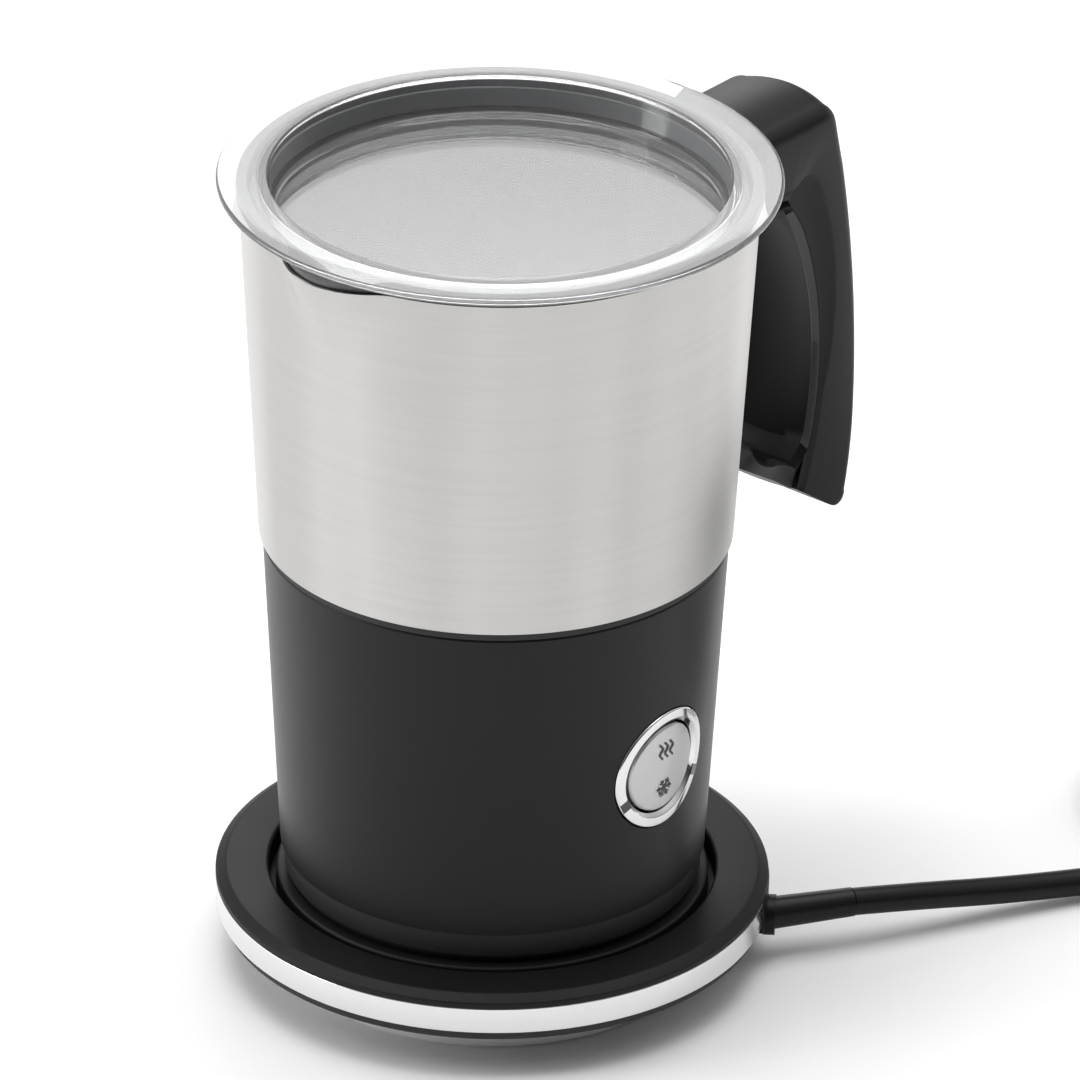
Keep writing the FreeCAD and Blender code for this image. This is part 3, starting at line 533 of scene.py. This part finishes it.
def make_finishes():
    """Every finish of the frother, by name."""
    GROUPS["moulded_grain"] = moulded_grain()
    GROUPS["brushed_grain"] = brushed_grain()
    f = bpy.context.scene.frother_finishes
    black, base_black = tuple(f.black), tuple(f.base_black)
    finish("satin_black", black, 0.38, strength=0.10, unevenness=0.06, specular=0.25)
    finish("handle_black", black, 0.44, strength=0.22, unevenness=0.08, scale=2100.0, specular=0.25)
    finish("grip_black", (0.007, 0.007, 0.0075), 0.40, strength=0.08, specular=0.12)
    # Lighter grey for the strip on the grip's edges: painted highlight standing in for the lit bevel.
    finish("painted_highlight_grey", (0.075, 0.075, 0.076), 0.40, strength=0.08, specular=0.4)
    finish("base_black", base_black, 0.50, strength=0.25, scale=2300.0, specular=0.24)
    finish("deep_black", (0.008, 0.008, 0.008), 0.55)
    # The foot is grey, but its colour is lifted near white: painted light standing in for the floor's
    # bounce into the shade under the base.
    finish("foot_grey_painted_light", (0.90, 0.90, 0.893), 0.62, strength=0.3, sheen=0.1)
    # The steel's upright bands of tone (0.42) are painted reflection bands; its fine lines are the
    # brushing.
    finish("brushed_steel", tuple(f.steel), f.steel_roughness, "brushed_grain", 0.00001, 0.25,
           metallic=1.0, anisotropic=0.7, line_tone=0.2, painted_band_tone=0.42)
    finish("bright_chrome", (0.74, 0.74, 0.75), 0.09, strength=0.03, metallic=1.0, drift=0.03,
           unevenness=0.03)
    finish("band_chrome", (0.80, 0.80, 0.805), 0.16, "brushed_grain", 0.000004, 0.12, metallic=1.0,
           unevenness=0.06, line_tone=0.05)
    finish("whisk_wire", (0.66, 0.66, 0.67), 0.18, metallic=1.0, strength=0.05)
    finish("zinc", (0.52, 0.53, 0.55), 0.36, metallic=1.0, strength=0.1)
    finish("nickel", (0.72, 0.70, 0.66), 0.22, metallic=1.0, strength=0.05)
    finish("brass", (0.70, 0.52, 0.24), 0.28, metallic=1.0, strength=0.08)
    finish("cast_aluminium", (0.56, 0.565, 0.575), 0.45, metallic=1.0, strength=0.35, scale=1400.0)
    finish("pot_coating", tuple(f.coating), 0.40, strength=0.25, scale=3000.0, coat=0.15)
    finish("clear_lid", tuple(f.lid_tint), 0.035, strength=0.0, drift=0.02, unevenness=0.02,
           transmission=0.93, ior=1.49)
    finish("silicone", (0.34, 0.345, 0.35), 0.5, transmission=0.3, ior=1.41)
    finish("button_silver", tuple(f.silver), 0.33, strength=0.30, metallic=0.75, scale=5200.0,
           drift=0.06)
    finish("sign_ink", (0.07, 0.07, 0.072), 0.5)
    finish("smoked_window", (0.004, 0.004, 0.005), 0.10, coat=0.6, coat_roughness=0.05)
    finish("soft_lead", (0.007, 0.007, 0.0075), 0.36, strength=0.14, scale=1500.0, specular=0.22)
    finish("solder_mask", (0.02, 0.11, 0.045), 0.35, strength=0.15)
    finish("component_black", (0.03, 0.03, 0.032), 0.5)
    finish("natural_nylon", (0.66, 0.65, 0.61), 0.48, strength=0.15)
    finish("magnet_plate", (0.42, 0.42, 0.43), 0.3, metallic=1.0)


# The CAD pieces that are shown as they are, by finish.
CAD_FINISH = {
    "base_black": ["base_connector_post", "cord_tie"],
    "deep_black": ["joint_ring", "jug_connector"],
    "zinc": ["base_screws", "jug_screws", "motor_case", "motor_screws", "motor_shaft",
             "button_pivot_pin", "handle_bracket", "handle_screws"],
    "brass": ["base_contact_pin", "base_contact_rings", "jug_contact_rings", "temperature_probe"],
    "soft_lead": ["base_leads", "cord_grommet", "plug_body"],
    "nickel": ["plug_pins", "plug_earth_clips"],
    "satin_black": ["lower_housing", "whisk_hub"],
    "cast_aluminium": ["heater_plate", "heater_element"],
    "component_black": ["thermal_cutout", "tact_switches", "board_components", "indicator_lights"],
    "natural_nylon": ["motor_deck", "rotor_carrier", "whisk_bush"],
    "magnet_plate": ["rotor_magnets", "whisk_magnets"],
    "whisk_wire": ["whisk_pin", "whisk_frame"],
    "solder_mask": ["circuit_board"],
    "silicone": ["lid_gasket"],
}


class FROTHER_OT_stage(bpy.types.Operator):
    """Add the floor, the soft lights and the camera"""
    bl_idname = "frother.stage"
    bl_label = "Studio"

    def execute(self, context):
        studio = context.scene.frother_studio
        ahead = Vector(CAMERA_AHEAD).normalized()
        level = Vector(CAMERA_LEVEL).normalized()
        over = level.cross(ahead)
        right = (level * math.cos(CAMERA_TILT) + over * math.sin(CAMERA_TILT)).normalized()
        up = (over * math.cos(CAMERA_TILT) - level * math.sin(CAMERA_TILT)).normalized()
        camera_data = bpy.data.cameras.new("camera")
        camera_data.lens = studio.lens
        camera_data.sensor_width = 36.0
        camera_data.clip_end = 50.0
        camera = bpy.data.objects.new("camera", camera_data)
        camera.matrix_world = Matrix.Translation(CAMERA_PLACE) @ Matrix((
            (right.x, up.x, -ahead.x, 0), (right.y, up.y, -ahead.y, 0),
            (right.z, up.z, -ahead.z, 0), (0, 0, 0, 1)))
        context.scene.collection.objects.link(camera)
        context.scene.camera = camera

        mesh = bpy.data.meshes.new("floor")
        corners = [(FLOOR_HALF * x, FLOOR_HALF * y, 0) for x, y in ((-1, -1), (1, -1), (1, 1), (-1, 1))]
        mesh.from_pydata(corners, [], [(0, 1, 2, 3)])
        floor = bpy.data.objects.new("floor", mesh)
        material = bpy.data.materials.new("floor")
        material.use_nodes = True
        shader = material.node_tree.nodes["Principled BSDF"]
        shader.inputs["Base Color"].default_value = (*studio.floor, 1.0)
        shader.inputs["Roughness"].default_value = 0.9
        mesh.materials.append(material)
        context.scene.collection.objects.link(floor)

        world = context.scene.world or bpy.data.worlds.new("surround")
        context.scene.world = world
        world.use_nodes = True
        tree = world.node_tree
        sky = tree.nodes["Background"]
        sky.inputs["Color"].default_value = (1.0, 1.0, 1.0, 1.0)
        way = tree.nodes.new("ShaderNodeTexCoord").outputs["Generated"]
        brightness = 1.0
        for (x, y, z), sharpness, change in SURROUND:
            dot = tree.nodes.new("ShaderNodeVectorMath")
            dot.operation = "DOT_PRODUCT"
            tree.links.new(way, dot.inputs[0])
            dot.inputs[1].default_value = Vector((x, y, z)).normalized()
            facing = math_node(tree, "MAXIMUM", dot.outputs["Value"], 0.0)
            glow = math_node(tree, "POWER", facing, sharpness)
            brightness = math_node(tree, "MULTIPLY_ADD", glow, change, brightness)
        brightness = math_node(tree, "MAXIMUM", brightness, DARKEST)
        tree.links.new(math_node(tree, "MULTIPLY", brightness, studio.sky), sky.inputs["Strength"])
        for name, place, width, height, power in LIGHTS:
            light_data = bpy.data.lights.new(name, "AREA")
            light_data.shape = "RECTANGLE"
            light_data.size, light_data.size_y = width, height
            light_data.energy = power
            light = bpy.data.objects.new(name, light_data)
            aim = Vector((0, 0, 0.1)) - Vector(place)
            light.matrix_world = Matrix.Translation(place) @ (
                aim.to_track_quat("-Z", "Y").to_matrix().to_4x4())
            context.scene.collection.objects.link(light)
        context.scene.view_settings.view_transform = "Standard"
        return {"FINISHED"}


class FROTHER_OT_mains_lead(bpy.types.Operator):
    """Lay the mains lead from its boot to the stored coil and the plug"""
    bl_idname = "frother.mains_lead"
    bl_label = "Mains lead"

    def execute(self, context):
        lead = context.scene.frother_lead
        start = np.array([OUTLET[0] + BOOT_LENGTH * math.cos(OUTLET_ANGLE),
                          OUTLET[1] + BOOT_LENGTH * math.sin(OUTLET_ANGLE), OUTLET[2]])
        route = [
            start, (65.1, -68.2, 9.3), (86.9, -78.6, 5.6), (111.5, -92.0, 3.5),
            (129.9, -104.2, LEAD_ON_FLOOR), (144.1, -115.3, LEAD_ON_FLOOR),
        ]
        last_way = math.atan2(route[-1][1] - route[-2][1], route[-1][0] - route[-2][0])
        radius = lead.coil_radius / MM
        first_angle = last_way - math.pi / 2
        centre = np.array([route[-1][0] - radius * math.cos(first_angle),
                           route[-1][1] - radius * math.sin(first_angle)])
        turns = np.arange(1, int(COIL_POINTS * lead.turns)) / COIL_POINTS
        # A quadratic spline runs inside its control points, nearer by this share of the radius.
        outward = radius / ((6 + 2 * math.cos(2 * math.pi / COIL_POINTS)) / 8)
        for share in turns:
            angle = first_angle + 2 * math.pi * share
            height = LEAD_ON_FLOOR + (COIL_TOP - LEAD_ON_FLOOR) * share / lead.turns
            route.append((centre[0] + outward * math.cos(angle),
                          centre[1] + outward * math.sin(angle), height))
        last_angle = first_angle + 2 * math.pi * lead.turns
        tail = np.array([centre[0] + radius * math.cos(last_angle),
                         centre[1] + radius * math.sin(last_angle), COIL_TOP])
        tail_way = np.array([-math.sin(last_angle), math.cos(last_angle), 0.0])
        route += [tail, tail + TAIL_LENGTH * tail_way]
        curve = bpy.data.curves.new("mains_lead", "CURVE")
        curve.dimensions = "3D"
        spline = curve.splines.new("NURBS")
        spline.points.add(len(route) - 1)
        spline.points.foreach_set("co", np.column_stack(
            [np.array(route) * MM, np.ones(len(route))]).ravel())
        spline.order_u = 3
        spline.use_endpoint_u = True
        spline.resolution_u = 8
        curve.bevel_depth = lead.radius
        curve.bevel_resolution = 6
        curve.use_fill_caps = True
        curve.materials.append(MATERIALS["soft_lead"])
        cable = bpy.data.objects.new("mains_lead", curve)
        context.scene.collection.objects.link(cable)
        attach(cable, "base")
        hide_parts("cord_tube", "cord_coil", "cord_tail")
        return {"FINISHED"}


class FROTHER_OT_power_base(bpy.types.Operator):
    """Build the power base's cover, metal band, pan and foot ring"""
    bl_idname = "frother.power_base"
    bl_label = "Power base"

    def execute(self, context):
        cover = rounded([
            (16.3, 17.8), (43.0, 17.8, 0.4), (43.0, 20.4, 0.7), (48.3, 20.4, 0.7), (48.3, 15.5, 0.3),
            (50.0, 15.5, 0.3), (50.0, 20.8, 0.9), (59.7, 20.8, 1.2), (62.0, 19.3, 0.5),
            (62.0, 18.05), (58.7, 18.05), (58.7, 13.0), (57.2, 13.0), (57.2, 18.6),
            (52.0, 18.6), (52.0, 13.3), (40.8, 13.3), (40.8, 15.6), (16.3, 15.6)])
        add_piece("base_cover", "base", MATERIALS["base_black"],
                  [lathe(cover)], ["base_top_cover"])
        band = rounded([(61.05, 11.8), (61.9, 11.8, 0.3), (62.0, 18.0, 0.3), (61.05, 18.0)], 5)
        add_piece("base_band", "base", MATERIALS["band_chrome"],
                  [arc_band(band, BAND_START, BAND_END)], ["base_chrome_band"])
        pan = rounded([
            (0, 1.8), (45.0, 1.8, 0.6), (45.0, 7.5, 0.4), (57.0, 7.5, 1.0), (60.9, 9.8, 0.8),
            (60.9, 17.8), (59.0, 17.8), (59.0, 10.8), (56.4, 9.5), (43.0, 9.5), (43.0, 3.8),
            (0, 3.8)])
        add_piece("base_pan", "base", MATERIALS["deep_black"],
                  [lathe(pan)], ["base_bottom_cover"])
        # The foot ring, in a grey lifted near white as painted light.
        foot = rounded([(40.0, 0.0), (48.0, 0.0, 0.8), (48.0, 7.3, 0.3), (45.2, 7.3), (45.2, 1.6),
                        (40.0, 1.6)])
        add_piece("base_foot", "base", MATERIALS["foot_grey_painted_light"],
                  [lathe(foot)], ["base_foot_ring"])
        return {"FINISHED"}


class FROTHER_OT_jug_shell(bpy.types.Operator):
    """Build the steel sleeve, the pot and the ring under the jug"""
    bl_idname = "frother.jug_shell"
    bl_label = "Jug shell"

    def execute(self, context):
        heights = np.linspace(0, 1, 44)
        slope = (SLEEVE_HIGH_R - SLEEVE_LOW_R) / (SLEEVE_HIGH - SLEEVE_LOW)
        rise = SLEEVE_HIGH - SLEEVE_LOW
        outside = [(SLEEVE_LOW_R + rise * slope * h, SLEEVE_LOW + rise * h, 0.0) for h in heights]
        inside = [(r - 0.8, z, 0.8) for r, z, _ in reversed(outside)]
        sleeve = [(SLEEVE_LOW_R - 0.6, SLEEVE_LOW, None), *outside,
                  (SLEEVE_HIGH_R - 0.4, SLEEVE_HIGH + 0.08, 0.4), *inside]
        add_piece("steel_body", "jug", MATERIALS["brushed_steel"],
                  [spouted(sleeve)], ["steel_sleeve"])
        pot_out = [(47.6 + (55.6 - 47.6) * h, 105.0 + 82.3 * h, 1.05) for h in heights]
        pot_in = [(54.7 - (54.7 - 47.4) * h, 188.7 - 82.0 * h, 1.95) for h in heights]
        floor_arc = rounded([(54.7, 188.7), (46.7, 98.0, 8.0), (0, 98.0)], 12)[1:-1]
        base_arc = rounded([(0, 96.3), (47.6, 96.3, 9.0), (55.6, 187.3)], 12)[1:-1]
        pot = [(0, 96.3, None), *[(r, z, None) for r, z in base_arc], *pot_out,
               (57.0, 187.3, 1.05), (57.2, 187.5, 0.95), (57.2, 188.8, 0.95), (57.0, 189.0, 1.1),
               (55.0, 189.0, 1.75), *pot_in, *[(r, z, None) for r, z in floor_arc], (0, 98.0, None)]
        add_piece("pot", "jug", MATERIALS["pot_coating"],
                  [spouted(pot)], ["inner_pot"])
        skirt = rounded([
            (17.8, 22.6), (42.0, 22.6), (42.8, 20.6), (45.3, 20.6, 0.5), (46.5, 22.4, 0.6),
            (46.5, 28.2, 0.2), (44.4, 28.2), (44.4, 24.8), (17.8, 24.8)])
        add_piece("jug_skirt", "jug", MATERIALS["deep_black"],
                  [lathe(skirt)], ["jug_bottom_cover"])
        return {"FINISHED"}


# The shell's stretches in the XZ plane: outer outline, inner outline (or the seam's end that they fan
# out from), stations, and the width and depth of the scoop beside the seam at both ends.
SHELL_STRETCHES = [
    ([(50.0, HANDLE_TOP), (88.0, HANDLE_TOP)], [(50.0, 163.0), SEAM_HIGH], 16, (2.5, 3.0), (0.6, 1.0)),
    ([(88.0, HANDLE_TOP), (95.4, HANDLE_TOP)], [SEAM_HIGH], 8, (3.0, 4.5), (1.0, 1.6)),
    ([(95.4, HANDLE_TOP), (98.8, 176.4), (100.6, 173.6)], [SEAM_HIGH], 8, (4.5, 7.5), (1.6, 2.0)),
    ([(100.6, 173.6), (103.7, 162.0)], [SEAM_HIGH], 6, (7.5, 10.0), (2.0, 2.0)),
    ([(103.7, 162.0), (109.2, 123.5), (109.75, 97.0)], [SEAM_HIGH, (93.7, 138.0), (94.5, 108.0)],
     34, (10.0, 2.6), (2.0, 1.1)),
    ([(109.75, 97.0), (108.9, 85.0), (107.6, 77.6)], [(94.5, 108.0), (92.1, 95.0), SEAM_LOW],
     16, (2.6, 2.2), (1.1, 0.9)),
    ([(107.6, 77.6), (105.9, 74.3), (102.2, 75.4)], [SEAM_LOW], 8, (2.2, 2.0), (0.9, 0.8)),
    ([(102.2, 75.4), (94.0, 80.9)], [SEAM_LOW], 5, (2.0, 1.6), (0.8, 0.6)),
]
# The scoop's profile: share of its width and share of its depth, from its outer edge to the seam.
SCOOP_SHARE = np.array([0.0, 0.06, 0.14, 0.3, 0.6, 0.85, 1.0])[None]
SCOOP_FALL = np.array([0.0, 0.03, 0.12, 0.36, 0.74, 0.93, 1.0])[None]
# The grip's loop: its outline at the shell, the jug and the underside, its hollow, the stations and
# how far it is dished across (1 in full). The strip of painted highlight runs along the stations between
# the ends of the run below.
GRIP_STRETCHES = [
    ([(50.0, 162.85), (83.9, 158.85)], [(62.5, 152.0), (74.0, 158.2), (81.5, 155.4)], 20, 0.0),
    ([(83.9, 158.85), (95.0, 120.0), (88.7, 84.6)], [(81.5, 155.4), (90.4, 122.0), (85.4, 97.4)],
     44, 1.0),
    ([(88.7, 84.6), (70.0, 96.5)], [(85.4, 97.4), (82.6, 96.0), (72.0, 102.4)], 16, 0.0),
    ([(70.0, 96.5), (50.0, 109.3)], [(72.0, 102.4), (61.6, 109.0)], 10, 0.0),
    ([(50.0, 109.3), (50.0, 162.85)], [(61.6, 109.0), (62.5, 152.0)], 24, 0.0),
]
HIGHLIGHT_STRIP_RUN = slice(20, 58)
DISH_BLEND = 5


def shell_loft():
    """The outer shell. Its section has a crowned back, rim arcs centre + rounding * (-cos, sin), flat
    sides that fall into a scoop beside the seam, and a hollow face over the seam."""
    outer, inner, scoop, drop = [], [], [], []
    for out_points, in_points, count, scoop_ends, drop_ends in SHELL_STRETCHES:
        outer.append(through(out_points, count)[:-1])
        inner.append(through(in_points * 2 if len(in_points) == 1 else in_points, count)[:-1])
        scoop.append(np.linspace(*scoop_ends, count)[:-1])
        drop.append(np.linspace(*drop_ends, count)[:-1])
    outer, inner = np.concatenate(outer), np.concatenate(inner)
    scoop, drop = np.concatenate(scoop)[:, None], np.concatenate(drop)[:, None]
    width = np.linalg.norm(inner - outer, axis=1)[:, None]
    scoop = np.minimum(scoop, 0.5 * width)
    rounding = np.minimum(SHELL_ROUNDING, 0.35 * width)
    bend = np.linspace(0, np.pi / 2, 8)[None]
    side_depth = np.concatenate([rounding * (1 - np.cos(bend)), width - scoop * (1 - SCOOP_SHARE)], 1)
    side_y = np.concatenate(
        [HANDLE_HALF - rounding * (1 - np.sin(bend)), HANDLE_HALF - drop * SCOOP_FALL], 1)
    across = np.linspace(-1, 1, 15)[None, 1:-1]
    crown = -SHELL_CROWN * (1 - across ** 2) + 0 * width
    hollow = np.minimum(SHELL_HOLLOW, 0.2 * width) * (1 - across ** 2)
    depth = np.concatenate([side_depth[:, ::-1], crown, side_depth, width - hollow], 1)
    y = np.concatenate([-side_y[:, ::-1], across * (HANDLE_HALF - rounding), side_y,
                        -across * (HANDLE_HALF - 2.0) + 0 * width], 1)
    return bridge(outer, inner, depth, y, False)


def grip_loft():
    """The grip, and a strip of painted highlight along its two edges, a lighter grey that stands in for
    the lit bevel. Its section has slanted lips and a dished face, depth = lip - dish * (1 - across^2);
    where it isn't dished it has flat sides."""
    outer = np.concatenate([through(a, count)[:-1] for a, _, count, _ in GRIP_STRETCHES])
    inner = np.concatenate([through(b, count)[:-1] for _, b, count, _ in GRIP_STRETCHES])
    dished = np.concatenate([np.full(count - 1, share) for _, _, count, share in GRIP_STRETCHES])
    spread = 2 * DISH_BLEND + 1
    dished = np.convolve(np.r_[dished[-DISH_BLEND:], dished, dished[:DISH_BLEND]],
                         np.ones(spread) / spread, "valid")[:, None]
    width = np.linalg.norm(inner - outer, axis=1)[:, None]
    slant = np.minimum(GRIP_SLANT, 0.5 * width)
    side = (1 - dished) * (width - slant)
    flat = 0 * width
    across = np.linspace(1, -1, 13)[None, 1:-1]
    lip_depth = np.concatenate([side, side + 0.15, side + slant - 0.15], 1)
    lip_y = np.concatenate([
        flat + HANDLE_HALF, flat + HANDLE_HALF - 0.08, HANDLE_HALF - slant + 0.08], 1)
    face = side + slant - GRIP_DISH * dished * (1 - across ** 2)
    back = 0.01 - GRIP_BACK_DISH * dished * (1 - across ** 2)
    depth = np.concatenate([lip_depth, face, lip_depth[:, ::-1], back], 1)
    y = np.concatenate([lip_y, across * (HANDLE_HALF - slant), -lip_y[:, ::-1],
                        -across * HANDLE_HALF + flat], 1)
    # The strip of painted highlight: a thin raised ribbon on each slanted lip, finished lighter to stand
    # in for the lit bevel.
    near, far = 0.08 * slant[HIGHLIGHT_STRIP_RUN], 0.95 * slant[HIGHLIGHT_STRIP_RUN]
    highlight_strip_depth = side[HIGHLIGHT_STRIP_RUN] + np.concatenate([near, near + HIGHLIGHT_STRIP_LIFT, far + HIGHLIGHT_STRIP_LIFT, far], 1)
    highlight_strip_y = HANDLE_HALF - np.concatenate(
        [near + HIGHLIGHT_STRIP_LIFT, near - HIGHLIGHT_STRIP_LIFT / 2, far - HIGHLIGHT_STRIP_LIFT, far + HIGHLIGHT_STRIP_LIFT], 1)
    highlight_strip = [bridge(outer[HIGHLIGHT_STRIP_RUN], inner[HIGHLIGHT_STRIP_RUN], highlight_strip_depth, way * highlight_strip_y, False) for way in (-1, 1)]
    return bridge(outer, inner, depth, y, True), highlight_strip


class FROTHER_OT_handle(bpy.types.Operator):
    """Build the handle's outer shell, the grip inside its loop and a strip of painted highlight along
    the grip
    """
    bl_idname = "frother.handle"
    bl_label = "Handle"

    def execute(self, context):
        add_piece("handle_outer", "jug", MATERIALS["handle_black"],
                  [shell_loft()], ["handle_shell"], sharp=50.0)
        grip, highlight_strip = grip_loft()
        add_piece("handle_grip", "jug", MATERIALS["grip_black"],
                  [grip], ["handle_insert"], sharp=32.0)
        # The strip of painted highlight along the grip's edges.
        add_piece("handle_painted_highlight", "jug", MATERIALS["painted_highlight_grey"], highlight_strip, sharp=50.0)
        return {"FINISHED"}


class FROTHER_OT_lid(bpy.types.Operator):
    """Build the clear dished lid"""
    bl_idname = "frother.lid"
    bl_label = "Lid"

    def execute(self, context):
        dish = rounded([
            (0, 180.2), (51.7, 180.2, 2.4), (52.5, 189.6, 0.6), (61.7, 189.6, 0.7),
            (61.7, 191.2, 0.7), (50.4, 191.2, 0.5), (49.7, 182.4, 1.4), (0, 182.4)], 8)
        add_piece("lid_clear", "lid", MATERIALS["clear_lid"],
                  [lathe(dish, 256)], ["lid_disc"])
        return {"FINISHED"}


class FROTHER_OT_control(bpy.types.Operator):
    """Build the control button, its ring, its windows and its printed signs"""
    bl_idname = "frother.control"
    bl_label = "Control button"

    def execute(self, context):
        ring = rounded([(11.0, -1.6), (14.28, -1.6), (14.28, 0.45, 0.5), (12.0, 0.45, 0.5),
                        (11.0, -0.5, 0.3)], 7)
        add_piece("button_ring", "jug", MATERIALS["bright_chrome"],
                  [front_ring(ring)], ["button_bezel"])
        cap = rounded([(0.0, -3.2), (10.4, -3.2), (10.4, 0.0, 0.7), (0.0, 0.35)], 8)
        add_piece("button_face", "button", MATERIALS["button_silver"],
                  [front_ring(finer(cap, 1.2))], ["button_cap"])
        windows = []
        for angle in (-26, 206):
            turn = math.radians(angle)
            reach = np.linspace(11.75, 14.0, 6)
            windows.append(front_ribbon(reach * math.cos(turn), BUTTON_Z + reach * math.sin(turn),
                                        1.25, 0.1, 0.50))
        add_piece("button_windows", "jug", MATERIALS["smoked_window"], windows,
                  ["indicator_lenses"])
        signs = []
        wave = np.linspace(-1, 1, 25)
        for side in (-1.7, 0.0, 1.7):
            signs.append(front_ribbon(side + 0.45 * np.sin(wave * 2.4 * np.pi / 1.6),
                                      BUTTON_Z + 4.6 + 2.0 * wave, 0.24, 0.30, 0.40))
        bar = np.linspace(-1, 1, 9)
        for arm in range(6):
            turn = math.radians(60 * arm)
            way = np.array([math.cos(turn), math.sin(turn)])
            root = np.array([0.0, BUTTON_Z - 5.0])
            arm_line = root + np.linspace(0.0, 2.35, 9)[:, None] * way
            signs.append(front_ribbon(arm_line[:, 0], arm_line[:, 1], 0.17, 0.30, 0.40))
            for lean in (-55, 55):
                side_turn = turn + math.radians(lean)
                side_way = np.array([math.cos(side_turn), math.sin(side_turn)])
                branch = root + 1.35 * way + (bar[:, None] * 0.5 + 0.5) * 0.85 * side_way
                signs.append(front_ribbon(branch[:, 0], branch[:, 1], 0.14, 0.30, 0.40))
        add_piece("button_signs", "button", MATERIALS["sign_ink"], signs)
        return {"FINISHED"}


class FROTHER_OT_whisk(bpy.types.Operator):
    """Wind the whisk's wire round its ring"""
    bl_idname = "frother.whisk"
    bl_label = "Whisk"

    def execute(self, context):
        shape = context.scene.frother_shape
        turn = np.linspace(0, 2 * np.pi, shape.whisk_turns * 14, endpoint=False)
        wound = turn * shape.whisk_turns
        wire = shape.whisk_wire / MM
        small = 2.6 - wire
        r = 19.5 + small * np.cos(wound)
        line = np.stack([r * np.cos(turn), r * np.sin(turn), 103.0 + small * np.sin(wound)], -1)
        add_piece("whisk_winding", "whisk", MATERIALS["whisk_wire"],
                  [tube(line, wire, 8, closed=True)], ["whisk_coil"], sharp=80.0)
        return {"FINISHED"}


class FROTHER_OT_fittings(bpy.types.Operator):
    """Give every carried-over CAD piece its finish"""
    bl_idname = "frother.fittings"
    bl_label = "Fittings"

    def execute(self, context):
        for name, nodes in CAD_FINISH.items():
            for node in nodes:
                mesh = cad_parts[node].data
                mesh.materials.clear()
                mesh.materials.append(MATERIALS[name])
        return {"FINISHED"}


class FROTHER_PT_panel(bpy.types.Panel):
    """Steps that build the frother"""
    bl_idname = "FROTHER_PT_panel"
    bl_label = "Milk frother"
    bl_space_type = "VIEW_3D"
    bl_region_type = "UI"
    bl_category = "Frother"

    def draw(self, context):
        for step in STEPS:
            self.layout.operator(step.bl_idname)


SETTINGS = {
    "frother_finishes": FrotherFinishes,
    "frother_shape": FrotherShape,
    "frother_lead": FrotherLead,
    "frother_studio": FrotherStudio,
}
STEPS = [
    FROTHER_OT_stage, FROTHER_OT_mains_lead, FROTHER_OT_power_base, FROTHER_OT_jug_shell,
    FROTHER_OT_handle, FROTHER_OT_lid, FROTHER_OT_control, FROTHER_OT_whisk, FROTHER_OT_fittings,
]


def register():
    for settings in SETTINGS.values():
        bpy.utils.register_class(settings)
    for step in STEPS:
        bpy.utils.register_class(step)
    bpy.utils.register_class(FROTHER_PT_panel)
    for name, settings in SETTINGS.items():
        setattr(bpy.types.Scene, name, PointerProperty(type=settings))


def unregister():
    for name in SETTINGS:
        delattr(bpy.types.Scene, name)
    bpy.utils.unregister_class(FROTHER_PT_panel)
    for step in reversed(STEPS):
        bpy.utils.unregister_class(step)
    for settings in reversed(list(SETTINGS.values())):
        bpy.utils.unregister_class(settings)


def main():
    register()
    make_finishes()
    for step in STEPS:
        group, _, call = step.bl_idname.partition(".")
        getattr(getattr(bpy.ops, group), call)()


if __name__ == "__main__":
    main()
